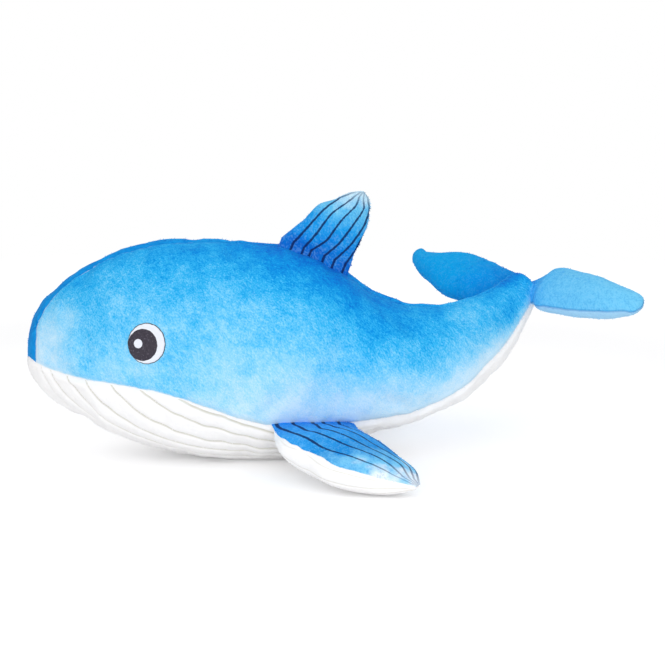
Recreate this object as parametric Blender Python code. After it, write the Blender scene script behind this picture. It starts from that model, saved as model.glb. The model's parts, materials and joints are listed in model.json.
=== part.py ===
"""A stuffed toy whale, sewn from plush panels over polyester filling.

Frame: metres, +X from the nose to the tail, +Y to the whale's right, +Z up.
The origin lies on the floor, in the middle of the flat that the belly rests on.
Each fabric panel is a thin shell of its own, and each bag of filling is a solid inside its panels.
The tail, the two flukes, the two side fins and the dorsal fin are groups that move on their own.
"""
import math

import bmesh
import bpy
from mathutils import Vector
from mathutils.bvhtree import BVHTree

# Overall sizes of the body, without the fins
BODY_LENGTH = 0.368
BODY_HEIGHT = 0.1595
BODY_WIDTH = 0.130
TAIL_SWING = 0.063
GUSSET_WIDTH = 0.0375

# Fabric and filling
FABRIC = 0.0020
SEAM_SHIFT = 0.0002
FILL_GAP = 0.0013
SEAT_GAP = 0.0003
ROOT_GAP = 0.0006
REST_CUT = 0.0005

# The bend of the tail: where it lies and how far the tail turns to each side
TAIL_ROW_SHARE = 15.5 / 20
TAIL_TURN = 30
TAIL_GAP = 0.0008
SOCKET_GAP = 0.0010

# Dorsal fin: its chord runs along the back
DORSAL_HEIGHT = 0.0520
DORSAL_CHORD = 0.0527
DORSAL_THICK = 0.0200
DORSAL_LEAN = 0.0527
DORSAL_ROOT_SHARES = (9.75 / 20, 11.45 / 20)

# Side fins
FIN_REACH = 0.0860
FIN_CHORD = 0.0570
FIN_THICK = 0.0300
FIN_SWEEP = 0.0555
FIN_CROWN_SHARE = 0.45
FIN_DROP = 10.6
FIN_RAISE = {"left": 0, "right": 9}
FIN_ROOT_SHARES = (9.45 / 20, 11.4 / 20)

# Tail flukes
FLUKE_REACH = 0.0885
FLUKE_CHORD = 0.0540
FLUKE_THICK = 0.0255
FLUKE_SWEEP = 0.0540
FLUKE_ROW_SHARE = 19 / 20

# Half thickness of a limb where it is sewn on, and how deep its root may reach below its hinge line
ROOT_THICK = 0.0038
ROOT_DEPTH = 0.0085

# Embroidered eyes
EYE_DIAMETER = 0.0300
PUPIL_DIAMETER = 0.0224
PUPIL_FORWARD = 0.0025
GLINT_DIAMETER = 0.0070
GLINT_FORWARD = 0.0042
GLINT_RISE = 0.0009
EYE_RIM = 0.0006
THREAD_HEIGHT = 0.0010
THREAD_GAP = 0.0003
THREAD_SEAT = 0.0007
THREAD_SPAN = 0.0050
EYE_X_SHARE = 0.250
EYE_RISE_SHARE = 0.118

# Stations of the body from the nose to the tail's end.
# Place along the length, rise of the widest line and swing of the tail, as shares of
# BODY_LENGTH, BODY_HEIGHT and TAIL_SWING; then the body above and below the widest line, as shares of
# BODY_HEIGHT, and its half width, as a share of BODY_WIDTH; then how far down the lower half the belly's
# seam lies; then the half width of the gusset, as a share of GUSSET_WIDTH.
STATION_SHARES = [
    (0.000, 0.000, 0.000, 0.000, 0.000, 0.000, 0.00, 0.50),
    (0.003, 0.000, 0.000, 0.100, 0.045, 0.075, 0.00, 0.50),
    (0.012, 0.000, 0.000, 0.185, 0.098, 0.148, 0.00, 0.50),
    (0.032, 0.000, 0.000, 0.257, 0.155, 0.219, 0.08, 0.44),
    (0.064, 0.000, 0.000, 0.324, 0.216, 0.284, 0.14, 0.37),
    (0.113, 0.000, 0.000, 0.394, 0.284, 0.349, 0.16, 0.29),
    (0.173, 0.000, 0.000, 0.468, 0.353, 0.405, 0.18, 0.23),
    (0.252, 0.000, 0.000, 0.525, 0.413, 0.456, 0.21, 0.17),
    (0.342, 0.000, 0.000, 0.537, 0.459, 0.490, 0.31, 0.10),
    (0.431, 0.000, 0.000, 0.524, 0.470, 0.500, 0.47, 0.04),
    (0.521, 0.000, 0.000, 0.496, 0.468, 0.483, 0.58, 0.00),
    (0.600, -0.007, 0.000, 0.428, 0.427, 0.433, 0.64, 0.00),
    (0.680, -0.018, 0.000, 0.325, 0.344, 0.365, 0.71, 0.00),
    (0.749, -0.027, 0.047, 0.268, 0.280, 0.303, 0.78, 0.00),
    (0.819, -0.014, 0.163, 0.237, 0.240, 0.247, 0.80, 0.00),
    (0.869, 0.022, 0.314, 0.206, 0.209, 0.204, 0.79, 0.00),
    (0.915, 0.078, 0.512, 0.170, 0.170, 0.165, 0.75, 0.00),
    (0.955, 0.143, 0.725, 0.128, 0.122, 0.128, 0.67, 0.00),
    (0.984, 0.205, 0.915, 0.090, 0.080, 0.096, 0.60, 0.00),
    (0.999, 0.241, 1.020, 0.062, 0.052, 0.068, 0.55, 0.00),
    (1.006, 0.256, 1.065, 0.000, 0.000, 0.000, 0.55, 0.00),
]
REST_ROW_SHARE = 9.36 / 20
GUSSET_START_SHARE = 2 / 20
GUSSET_END_SHARE = 9.5 / 20

# Outlines of the limbs from root to tip: reach, place of the chord's middle, half chord and half
# thickness, as shares of the limb's reach, sweep, chord and thickness.
DORSAL_SHARES = [
    (0.00, 0.00, 0.500, 0.19),
    (0.17, 0.01, 0.490, 0.40),
    (0.37, 0.04, 0.445, 0.50),
    (0.59, 0.10, 0.370, 0.47),
    (0.77, 0.15, 0.285, 0.37),
    (0.92, 0.19, 0.175, 0.22),
    (1.00, 0.20, 0.000, 0.00),
]
FIN_SHARES = [
    (0.00, 0.00, 0.500, 0.127),
    (0.16, 0.14, 0.580, 0.35),
    (0.36, 0.26, 0.590, 0.50),
    (0.58, 0.46, 0.550, 0.50),
    (0.78, 0.70, 0.430, 0.42),
    (0.93, 0.91, 0.230, 0.25),
    (1.00, 1.00, 0.000, 0.00),
]
FLUKE_SHARES = [
    (0.00, 0.00, 0.175, 0.122),
    (0.12, 0.05, 0.370, 0.35),
    (0.29, 0.06, 0.465, 0.49),
    (0.50, 0.05, 0.470, 0.50),
    (0.70, 0.05, 0.420, 0.43),
    (0.86, 0.07, 0.310, 0.32),
    (0.96, 0.09, 0.170, 0.17),
    (1.00, 0.10, 0.000, 0.00),
]

# How finely the faceted solids are cut
STATION_CUTS = 2
SIDE_COLUMNS = 8
BELLY_COLUMNS = 13
GUSSET_COLUMNS = 6
FILL_COLUMNS = 20
LIMB_COLUMNS = 8
LIMB_ROWS = 8
ROOT_STEPS = 3
BALL_STEPS = 5
EYE_POINTS = 28
ROOT_SAMPLES = 6
PLAIN_ROWS = (4, 12)

LAST_ROW = len(STATION_SHARES) - 1
ROW_STEP = 1 / STATION_CUTS
TAIL_ROW = TAIL_ROW_SHARE * LAST_ROW
MERGE = 0.00001
SHARP_ANGLE = 50

BLUE = (0.06, 0.38, 0.84, 1)
DEEP_BLUE = (0.0, 0.22, 0.66, 1)
WHITE = (0.88, 0.87, 0.86, 1)
FILL_WHITE = (0.82, 0.82, 0.80, 1)
THREAD_BLACK = (0.04, 0.035, 0.05, 1)
THREAD_WHITE = (0.85, 0.87, 0.92, 1)


def clear_scene():
    """Empties the scene of the objects that a new file holds."""
    for old in list(bpy.data.objects):
        bpy.data.objects.remove(old)


def finish_of(name, colour, roughness):
    """A plain material."""
    material = bpy.data.materials.new(name)
    material.use_nodes = True
    shader = material.node_tree.nodes["Principled BSDF"]
    shader.inputs["Base Color"].default_value = colour
    shader.inputs["Roughness"].default_value = roughness
    shader.inputs["Metallic"].default_value = 0.0
    return material


def node_from(name, points, faces, material, parent):
    """A named object from points and faces, with coincident points merged and faces pointing out."""
    shape = bmesh.new()
    corners = [shape.verts.new(point) for point in points]
    for face in faces:
        shape.faces.new([corners[index] for index in face])
    bmesh.ops.remove_doubles(shape, verts=shape.verts, dist=MERGE)
    bmesh.ops.dissolve_degenerate(shape, edges=shape.edges, dist=MERGE)
    loose = [edge for edge in shape.edges if not edge.link_faces]
    bmesh.ops.delete(shape, geom=loose, context="EDGES")
    bmesh.ops.recalc_face_normals(shape, faces=shape.faces)
    mesh = bpy.data.meshes.new(name)
    shape.to_mesh(mesh)
    shape.free()
    obj = bpy.data.objects.new(name, mesh)
    bpy.context.scene.collection.objects.link(obj)
    mesh.materials.append(material)
    mesh.shade_smooth()
    mesh.set_sharp_from_angle(angle=math.radians(SHARP_ANGLE))
    obj.parent = parent
    obj.matrix_parent_inverse = parent.matrix_world.inverted()
    return obj


def pivot(name, place, parent=None):
    """An empty that a group of pieces turns about."""
    empty = bpy.data.objects.new(name, None)
    bpy.context.scene.collection.objects.link(empty)
    empty.location = place
    bpy.context.view_layer.update()
    if parent:
        empty.parent = parent
        empty.matrix_parent_inverse = parent.matrix_world.inverted()
    return empty


def past_end(pole, near):
    """The row that continues a table past its end row, pole, whose neighbour is near.

    An end that closes to a point is mirrored, with its widths turned negative, so that it closes round.
    """
    closes = pole[3] == 0
    if closes:
        return tuple(-value if 3 <= index <= 5 else value for index, value in enumerate(near))
    return tuple(2 * end - value for end, value in zip(pole, near))


def smooth_row(table, row):
    """The table's values at a row number that may lie between two rows, on a smooth curve."""
    low = min(int(row), len(table) - 2)
    part = row - low
    start, end = table[low], table[low + 1]
    before = table[low - 1] if low > 0 else past_end(start, end)
    after = table[low + 2] if low + 2 < len(table) else past_end(end, start)
    values = []
    for p0, p1, p2, p3 in zip(before, start, end, after):
        slope_in = (p2 - p0) / 2
        slope_out = (p3 - p1) / 2
        bend = 2 * (p1 - p2) + slope_in + slope_out
        curve = 3 * (p2 - p1) - 2 * slope_in - slope_out
        values.append(((bend * part + curve) * part + slope_in) * part + p1)
    return values


LOWEST_SHARE = max(row[4] for row in STATION_SHARES)
SPINE_HEIGHT = BODY_HEIGHT * LOWEST_SHARE + SEAM_SHIFT - REST_CUT
REST_X = BODY_LENGTH * smooth_row(STATION_SHARES, REST_ROW_SHARE * LAST_ROW)[0]


def spine_point(row):
    """The body's widest line."""
    along, rise, swing = smooth_row(STATION_SHARES, row)[:3]
    return Vector((
        BODY_LENGTH * along - REST_X,
        TAIL_SWING * swing,
        SPINE_HEIGHT + BODY_HEIGHT * rise,
    ))


def spine_axes(row):
    """Unit vectors along the spine, to the whale's right and up."""
    step = ROW_STEP / 10
    behind = spine_point(max(row - step, 0))
    ahead = spine_point(min(row + step, LAST_ROW))
    along = (ahead - behind).normalized() if row > 1 else Vector((1, 0, 0))
    right = Vector((-along.y, along.x, 0)).normalized()
    return along, right, along.cross(right)


def ring_sizes(row):
    """Half width, height above and height below the widest line."""
    values = smooth_row(STATION_SHARES, row)
    return BODY_WIDTH * values[5], BODY_HEIGHT * values[3], BODY_HEIGHT * values[4]


def body_point(row, angle):
    """A point of the body's outer surface. Angle 0 is the right side and a quarter turn is the top."""
    width, above, below = ring_sizes(row)
    along, right, up = spine_axes(row)
    height = above if math.sin(angle) > 0 else below
    return spine_point(row) + right * width * math.cos(angle) + up * height * math.sin(angle)


def body_normal(row, angle):
    """The outward direction of the body's surface, from points close by."""
    if row < ROW_STEP / 10:
        return Vector((-1, 0, 0))
    if row > LAST_ROW - ROW_STEP / 10:
        return spine_axes(LAST_ROW)[0]
    step = ROW_STEP / 20
    turn = math.radians(1)
    lengthwise = body_point(row + step, angle) - body_point(row - step, angle)
    around = body_point(row, angle + turn) - body_point(row, angle - turn)
    normal = around.cross(lengthwise).normalized()
    outward = body_point(row, angle) - spine_point(row)
    return normal if normal.dot(outward) > 0 else -normal


def body_skin(row, angle, depth):
    """A point this deep under the body's surface."""
    return body_point(row, angle) - body_normal(row, angle) * depth


def belly_angle(row):
    """How far below the widest line the belly's seam lies, as an angle round the ring."""
    return math.asin(smooth_row(STATION_SHARES, row)[6])


def gusset_angle(row):
    """Where the gusset's edge lies, as an angle from the right side towards the top."""
    if row < GUSSET_START_SHARE * LAST_ROW - ROW_STEP / 10:
        return -belly_angle(row)
    if row >= GUSSET_END_SHARE * LAST_ROW:
        return math.pi / 2
    half = GUSSET_WIDTH * smooth_row(STATION_SHARES, row)[7]
    return math.acos(min(half / ring_sizes(row)[0], 1))


def rows_between(first, last):
    """Row numbers from first to last: whole ones along the even middle of the body, halves elsewhere."""
    count = int(LAST_ROW / ROW_STEP) + 1
    steps = [ROW_STEP * index for index in range(count)]
    start, end = PLAIN_ROWS
    kept = [row for row in steps if row == int(row) or not start < row < end]
    near = ROW_STEP / 10
    return [first] + [row for row in kept if first + near < row < last - near] + [last]


def sheet_solid(outer, inner):
    """Points and faces of a closed shell between two grids of the same rows and columns."""
    height, width = len(outer), len(outer[0])
    points = [point for grid in (outer, inner) for line in grid for point in line]

    def at(layer, line, column):
        return (layer * height + line) * width + column

    faces = []
    for line in range(height - 1):
        for column in range(width - 1):
            square = ((line, column), (line, column + 1), (line + 1, column + 1), (line + 1, column))
            faces.append([at(0, *corner) for corner in square])
            faces.append([at(1, *corner) for corner in reversed(square)])
    rim = [(0, c) for c in range(width)] + [(r, width - 1) for r in range(1, height)]
    rim += [(height - 1, c) for c in range(width - 2, -1, -1)]
    rim += [(r, 0) for r in range(height - 2, 0, -1)]
    for here, there in zip(rim, rim[1:] + rim[:1]):
        faces.append([at(0, *there), at(0, *here), at(1, *here), at(1, *there)])
    return points, faces


def body_panel(name, rows, angles, columns, shift, material, parent):
    """A fabric panel of the body. angles gives its two edges at a row, and shift its stand-off.

    A panel whose rows run up to the tail's ring ends ahead of it, at the tail's groove.
    """
    layers = []
    for depth in (0.0, FABRIC):
        grid = []
        for row in rows:
            start, end = angles(row)
            along, right, up = spine_axes(row)
            off = (right * shift[0] + up * shift[1]) * SEAM_SHIFT
            line = [start + (end - start) * c / columns for c in range(columns + 1)]
            place = groove_row if row == rows[-1] == TAIL_ROW else lambda angle: row
            grid.append([body_skin(place(angle), angle, depth) + off for angle in line])
        layers.append(grid)
    points, faces = sheet_solid(*layers)
    return node_from(name, points, faces, material, parent)


def left_edges(row):
    """The left side panel's edges, from the belly's seam up to the gusset or the ridge."""
    return math.pi + belly_angle(row), math.pi - gusset_angle(row)


def right_edges(row):
    """The right side panel's edges."""
    return -belly_angle(row), gusset_angle(row)


def belly_edges(row):
    """The belly panel's edges, from its left seam round the bottom to its right seam."""
    return math.pi + belly_angle(row), 2 * math.pi - belly_angle(row)


def gusset_edges(row):
    """The gusset's edges, over the top of the head."""
    return gusset_angle(row), math.pi - gusset_angle(row)


def rings_solid(rings):
    """Points and faces of a closed tube through rings of points. An end ring may be a single place."""
    count = len(rings[0])
    points = [point for ring in rings for point in ring]
    faces = []
    for line in range(len(rings) - 1):
        for c in range(count):
            n = (c + 1) % count
            after = line + 1
            faces.append([line * count + c, line * count + n, after * count + n, after * count + c])
    return points, faces


def filling_ring(place, depth):
    """A ring of points this deep under the body's surface. place gives the row at each angle."""
    angles = [2 * math.pi * c / FILL_COLUMNS for c in range(FILL_COLUMNS)]
    return [body_skin(place(angle), angle, depth) for angle in angles]


def ball_ring(share, depth, limit):
    """A ring of the ball that the tail turns on.

    share runs from 0 at the ball's front to 1 at its rim, where limit gives the turn at each angle.
    """
    along, right, up = spine_axes(TAIL_ROW)
    width, above, below = [size - depth for size in ring_sizes(TAIL_ROW)]
    ring = []
    for c in range(FILL_COLUMNS):
        angle = 2 * math.pi * c / FILL_COLUMNS
        turn = share * limit(angle)
        height = above if math.sin(angle) > 0 else below
        reach = right * width * math.cos(angle) + up * height * math.sin(angle)
        ring.append(spine_point(TAIL_ROW) - along * width * math.cos(turn) + reach * math.sin(turn))
    return ring


def rim_turn(angle):
    """Where the socket's rim lies on the ball, level with the groove."""
    return math.acos(groove(angle) / (ring_sizes(TAIL_ROW)[0] - FABRIC - FILL_GAP))


def groove(angle):
    """How far ahead of the tail's ring the front of the body ends, so that the tail's rim can swing by."""
    return ring_sizes(TAIL_ROW)[0] * abs(math.cos(angle)) * math.sin(math.radians(TAIL_TURN)) + TAIL_GAP


def groove_row(angle):
    """The row where the front of the body ends at this angle."""
    spacing = (body_point(TAIL_ROW, angle) - body_point(TAIL_ROW - ROW_STEP, angle)).length
    return TAIL_ROW - ROW_STEP * groove(angle) / spacing


def front_rows(first):
    """Row numbers from first to the tail's ring, without those that the groove reaches."""
    return [row for row in rows_between(first, TAIL_ROW) if row == TAIL_ROW or row < groove_row(0)]


def make_body(finishes, body):
    """The panels and the filling from the nose to the bend of the tail."""
    side_start = GUSSET_START_SHARE * LAST_ROW
    first_step = SEAT_GAP / (spine_point(side_start + ROW_STEP) - spine_point(side_start)).length
    side_rows = [side_start + first_step] + front_rows(side_start)[1:]
    blue = finishes["plush_blue"]
    body_panel("left_side_panel", side_rows, left_edges, SIDE_COLUMNS, (-1, 0), blue, body)
    body_panel("right_side_panel", side_rows, right_edges, SIDE_COLUMNS, (1, 0), blue, body)
    belly = body_panel(
        "belly_panel", front_rows(0), belly_edges, BELLY_COLUMNS, (0, -1), finishes["plush_white"], body,
    )
    flatten_underside(belly)
    snout_end = side_start - ROW_STEP / 5
    rows = rows_between(0, snout_end) + rows_between(side_start, GUSSET_END_SHARE * LAST_ROW - ROW_STEP)
    body_panel("head_gusset", rows, gusset_edges, GUSSET_COLUMNS, (0, 1), finishes["plush_deep_blue"], body)

    depth = FABRIC + FILL_GAP
    rings = [filling_ring(lambda angle: row, depth) for row in front_rows(0)[:-1]]
    rings.append(filling_ring(groove_row, depth))
    rings += [ball_ring(1 - s / BALL_STEPS, depth, rim_turn) for s in range(BALL_STEPS + 1)]
    points, faces = rings_solid(rings)
    node_from("body_filling", points, faces, finishes["filling"], body)


def flatten_underside(obj):
    """Cuts the belly flat at the floor."""
    shape = bmesh.new()
    shape.from_mesh(obj.data)
    everything = list(shape.verts) + list(shape.edges) + list(shape.faces)
    down = Vector((0, 0, -1))
    cut = bmesh.ops.bisect_plane(
        shape, geom=everything, dist=MERGE, plane_co=Vector(), plane_no=down, clear_outer=True,
    )
    rim = [part for part in cut["geom_cut"] if isinstance(part, bmesh.types.BMEdge)]
    bmesh.ops.edgeloop_fill(shape, edges=rim)
    bmesh.ops.recalc_face_normals(shape, faces=shape.faces)
    shape.to_mesh(obj.data)
    shape.free()


def make_tail(finishes, tail):
    """The panels and the filling behind the bend."""
    end = LAST_ROW - ROW_STEP
    rows = rows_between(TAIL_ROW, end)
    blue, white = finishes["plush_blue"], finishes["plush_white"]
    body_panel("left_tail_panel", rows, left_edges, SIDE_COLUMNS, (-1, 0), blue, tail)
    body_panel("right_tail_panel", rows, right_edges, SIDE_COLUMNS, (1, 0), blue, tail)
    body_panel("tail_belly_panel", rows, belly_edges, BELLY_COLUMNS // 2, (0, -1), white, tail)
    depth = FABRIC + FILL_GAP
    ball = depth + SOCKET_GAP
    rings = [ball_ring(s / BALL_STEPS, ball, lambda angle: math.pi / 2) for s in range(BALL_STEPS + 1)]
    rings += [filling_ring(lambda angle: row, depth) for row in rows_between(TAIL_ROW, LAST_ROW)[1:]]
    points, faces = rings_solid(rings)
    node_from("tail_filling", points, faces, finishes["filling"], tail)


def body_tree():
    """A search tree of the body's faceted outer surface, for seating a limb or an eye on it."""
    points, faces = [], []
    rows = rows_between(0, LAST_ROW)
    sides = (left_edges, SIDE_COLUMNS), (right_edges, SIDE_COLUMNS)
    for edges, columns in (*sides, (belly_edges, BELLY_COLUMNS), (gusset_edges, GUSSET_COLUMNS)):
        first = len(points)
        for row in rows:
            start, end = edges(row)
            points += [body_point(row, start + (end - start) * c / columns) for c in range(columns + 1)]
        width = columns + 1
        for line in range(len(rows) - 1):
            for c in range(columns):
                corner = first + line * width + c
                faces.append([corner, corner + 1, corner + width + 1, corner + width])
    return BVHTree.FromPolygons(points, faces)


class Limb:
    """A stuffed pillow of two panels that is sewn on along a root line and turns about it.

    sizes are its reach, sweep, chord and thickness, and place is the middle of its hinge line. axes are
    the hinge line's direction, the way the limb reaches and the side of its first panel. The root below
    the hinge line is round and follows the carrier that it is sewn to. crown_share is the share of the
    thickness on the first panel's side.
    """

    def __init__(self, shares, sizes, place, axes, carrier, crown_share=0.5):
        self.shares = shares
        self.reach, self.sweep, self.chord, self.thick = sizes
        self.place = place
        self.along, self.out, self.face = axes
        self.crown_share = crown_share
        self.columns = [-math.cos(math.pi * c / LIMB_COLUMNS) for c in range(LIMB_COLUMNS + 1)]
        self.depths = [self.root_depth(t, carrier) for t in self.columns]

    def root_depth(self, t, carrier):
        """How far below the hinge line the root reaches at this place of the chord."""
        start = self.place + self.along * t * self.chord * self.shares[0][2]
        hit, normal, index, distance = carrier.ray_cast(start, -self.out)
        nearest = carrier.find_nearest(start)[3]
        if distance is None:
            distance = ROOT_DEPTH
        return max(min(distance, nearest, ROOT_DEPTH) - ROOT_GAP, ROOT_THICK)

    def outline(self, row, inset):
        """Reach, middle, half chord and half thickness at a row of the outline."""
        reach, middle, half, thick = smooth_limb(self.shares, row * (len(self.shares) - 1) / LIMB_ROWS)
        length = reach * (self.reach - inset)
        return length, self.sweep * middle, self.chord * half - inset, self.thick * thick - inset

    def grid(self, side, inset):
        """A grid over one face of the pillow, from the root's edge to the tip."""
        lines = []
        first = self.outline(0, inset)
        for step in range(ROOT_STEPS + 1):
            turn = math.pi / 2 * step / ROOT_STEPS
            line = []
            for t, depth in zip(self.columns, self.depths):
                swell = max(1 - t * t, 0) ** 0.5
                height = max(ROOT_THICK - inset, MERGE) * swell * math.sin(turn)
                sink = (inset - depth) * math.cos(turn)
                line.append(self.point(first[1] + t * first[2], sink, side * height))
            lines.append(line)
        for row in range(1, LIMB_ROWS + 1):
            length, middle, half, thick = self.outline(row, inset)
            if half < MERGE or thick < MERGE:
                half = thick = 0.0
            line = []
            for t in self.columns:
                swell = max(1 - t * t, 0) ** 0.5
                height = side * thick * swell * 2 * (self.crown_share if side > 0 else 1 - self.crown_share)
                line.append(self.point(middle + t * half, length, height))
            lines.append(line)
        return lines

    def point(self, along, out, face):
        """A point of the limb in the frame of the whale."""
        return self.place + self.along * along + self.out * out + self.face * face

    def panel(self, name, side, material, parent):
        """One fabric face, with its edge on the seam all round."""
        outer = self.grid(side, 0.0)
        inner = self.grid(side, FABRIC)
        points, faces = sheet_solid(outer, inner)
        off = self.face * side * SEAM_SHIFT
        node_from(name, [point + off for point in points], faces, material, parent)

    def filling(self, name, material, parent):
        """The filling between the two faces."""
        inset = FABRIC + FILL_GAP
        points, faces = sheet_solid(self.grid(1, inset), self.grid(-1, inset))
        node_from(name, points, faces, material, parent)


def smooth_limb(shares, row):
    """The outline's values between two rows of its table, closing round at the tip."""
    padded = [(r, m, 0.0, h, 0.0, k) for r, m, k, h in shares]
    values = smooth_row(padded, row)
    return values[0], values[1], values[5], values[3]


def make_limb(name, limb, first, second, finishes, parent):
    """The three pieces of a limb: its two faces, named first and second, and its filling."""
    limb.panel(name + "_" + first[0], 1, finishes[first[1]], parent)
    limb.panel(name + "_" + second[0], -1, finishes[second[1]], parent)
    limb.filling(name + "_filling", finishes["filling"], parent)


def mirrored(vector, side):
    """The vector as it is on the whale's left side, or its mirror image on the right side."""
    return Vector((vector.x, vector.y * side, vector.z))


def make_side_fins(finishes, body, carrier):
    """The pair of fins on the seams of the belly."""
    first, last = [share * LAST_ROW for share in FIN_ROOT_SHARES]
    front = body_point(first, math.pi + belly_angle(first))
    back = body_point(last, math.pi + belly_angle(last))
    along = (back - front).normalized()
    middle = (front + back) / 2
    for side, word in ((1, "left"), (-1, "right")):
        drop = math.radians(FIN_DROP - FIN_RAISE[word])
        out = Vector((0, -math.cos(drop), -math.sin(drop)))
        out = (out - along * out.dot(along)).normalized()
        place = hinge_place(carrier, middle, along * FIN_CHORD * FIN_SHARES[0][2], out)
        axes = tuple(mirrored(axis, side) for axis in (along, out, out.cross(along)))
        hinge = pivot(word + "_fin_hinge", mirrored(place, side), body)
        sizes = (FIN_REACH, FIN_SWEEP, FIN_CHORD, FIN_THICK)
        limb = Limb(FIN_SHARES, sizes, mirrored(place, side), axes, carrier, FIN_CROWN_SHARE)
        pieces = ("top_panel", "fin_blue"), ("under_panel", "plush_white")
        make_limb(word + "_fin", limb, *pieces, finishes, hinge)


def hinge_place(carrier, middle, half, out):
    """The middle of a hinge line that runs half to each side, just clear of the carrier's surface."""
    starts = [middle + half * step / ROOT_SAMPLES for step in range(-ROOT_SAMPLES, ROOT_SAMPLES + 1)]
    hits = [carrier.ray_cast(start + out * BODY_WIDTH, -out)[0] for start in starts]
    rise = max((hit - middle).dot(out) for hit in hits if hit)
    for attempt in range(ROOT_SAMPLES):
        nearest = min(carrier.find_nearest(start + out * rise)[3] for start in starts)
        rise += max(ROOT_THICK + ROOT_GAP - nearest, 0)
    return middle + out * rise


def make_flukes(finishes, tail, carrier):
    """The two halves of the tail's fin, sewn to the sides of the tail's end."""
    row = FLUKE_ROW_SHARE * LAST_ROW
    along, right, up = spine_axes(row)
    for side, word in ((-1, "left"), (1, "right")):
        out = right * side
        middle = spine_point(row)
        half = along * FLUKE_CHORD * FLUKE_SHARES[0][2]
        place = hinge_place(carrier, middle, half, out)
        hinge = pivot(word + "_fluke_hinge", place, tail)
        sizes = (FLUKE_REACH, FLUKE_SWEEP, FLUKE_CHORD, FLUKE_THICK)
        limb = Limb(FLUKE_SHARES, sizes, place, (along, out, up), carrier)
        pieces = ("top_panel", "plush_blue"), ("under_panel", "plush_white")
        make_limb(word + "_fluke", limb, *pieces, finishes, hinge)


def make_dorsal(finishes, body, carrier):
    """The fin on the back."""
    front, back = [body_point(share * LAST_ROW, math.pi / 2) for share in DORSAL_ROOT_SHARES]
    along = (back - front).normalized()
    out = Vector((-along.z, 0, along.x))
    middle = (front + back) / 2
    place = hinge_place(carrier, middle, along * DORSAL_CHORD * DORSAL_SHARES[0][2], out)
    hinge = pivot("dorsal_fin_hinge", place, body)
    axes = (along, out, Vector((0, -1, 0)))
    sizes = (DORSAL_HEIGHT, DORSAL_LEAN, DORSAL_CHORD, DORSAL_THICK)
    limb = Limb(DORSAL_SHARES, sizes, place, axes, carrier)
    pieces = ("left_panel", "fin_blue"), ("right_panel", "fin_blue")
    make_limb("dorsal_fin", limb, *pieces, finishes, hinge)


def disc_solid(outer, inner, carrier, centre, axes, points):
    """Points and faces of a thread patch between two circles, laid on the carrier's surface.

    Each circle is its centre's place forward and up, then its radius. An inner radius of 0 fills the disc.
    """
    forward, up, normal = axes
    spans = max(int((outer[2] - inner[2]) / THREAD_SPAN), 1)
    levels = []
    for lift in (THREAD_SEAT + THREAD_HEIGHT, THREAD_SEAT):
        level = []
        for span in range(spans + 1):
            share = span / spans
            place = [a + (b - a) * share for a, b in zip(outer, inner)]
            ring = []
            for index in range(points):
                turn = 2 * math.pi * index / points
                flat = centre + forward * (place[0] + place[2] * math.cos(turn))
                flat += up * (place[1] + place[2] * math.sin(turn))
                hit = carrier.ray_cast(flat + normal * EYE_DIAMETER, -normal)[0]
                ring.append(hit + normal * lift)
            level.append(ring)
        levels.append(level)
    return rings_solid(levels[0] + levels[1][::-1] + levels[0][:1])


def make_eyes(finishes, body, carrier):
    """The embroidered eyes: an outline, the white, the pupil and a glint in it, side by side."""
    rim = EYE_DIAMETER / 2 - EYE_RIM
    pupil = PUPIL_DIAMETER / 2
    glint = GLINT_DIAMETER / 2
    whole = (0.0, 0.0, EYE_DIAMETER / 2)
    glint_place = (PUPIL_FORWARD + GLINT_FORWARD, GLINT_RISE)
    white_outer = (0.0, 0.0, rim - THREAD_GAP)
    white_inner = (PUPIL_FORWARD, 0.0, pupil + THREAD_GAP)
    pupil_outer = (PUPIL_FORWARD, 0.0, pupil)
    pupil_inner = (*glint_place, glint + THREAD_GAP)
    rings = (
        ("eye_outline", whole, (0.0, 0.0, rim), "thread_black", EYE_POINTS),
        ("eye_white", white_outer, white_inner, "thread_white", EYE_POINTS),
        ("eye_pupil", pupil_outer, pupil_inner, "thread_black", EYE_POINTS),
        ("eye_glint", (*glint_place, glint), (*glint_place, 0.0), "thread_white", EYE_POINTS // 2),
    )
    aim_x = BODY_LENGTH * EYE_X_SHARE - REST_X
    aim_z = SPINE_HEIGHT + BODY_HEIGHT * EYE_RISE_SHARE
    centre, normal = carrier.ray_cast(Vector((aim_x, -BODY_WIDTH, aim_z)), Vector((0, 1, 0)))[:2]
    normal = normal if normal.y < 0 else -normal
    up = (Vector((0, 0, 1)) - normal * normal.z).normalized()
    forward = up.cross(normal)
    forward = forward if forward.x < 0 else -forward
    for side, word in ((1, "left"), (-1, "right")):
        axes = tuple(mirrored(axis, side) for axis in (forward, up, normal))
        for name, outer, inner, finish, points in rings:
            shape = disc_solid(outer, inner, carrier, mirrored(centre, side), axes, points)
            node_from(word + "_" + name, *shape, finishes[finish], body)


def main():
    """Builds every piece."""
    clear_scene()
    finishes = {
        "plush_blue": finish_of("plush_blue", BLUE, 0.9),
        "plush_deep_blue": finish_of("plush_deep_blue", DEEP_BLUE, 0.9),
        "plush_white": finish_of("plush_white", WHITE, 0.95),
        "fin_blue": finish_of("fin_blue", DEEP_BLUE, 0.9),
        "filling": finish_of("filling", FILL_WHITE, 1.0),
        "thread_black": finish_of("thread_black", THREAD_BLACK, 0.7),
        "thread_white": finish_of("thread_white", THREAD_WHITE, 0.6),
    }
    body = pivot("whale", (0, 0, 0))
    make_body(finishes, body)
    tail = pivot("tail_bend", spine_point(TAIL_ROW), body)
    make_tail(finishes, tail)
    carrier = body_tree()
    make_dorsal(finishes, body, carrier)
    make_side_fins(finishes, body, carrier)
    make_flukes(finishes, tail, carrier)
    make_eyes(finishes, body, carrier)


main()
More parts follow.
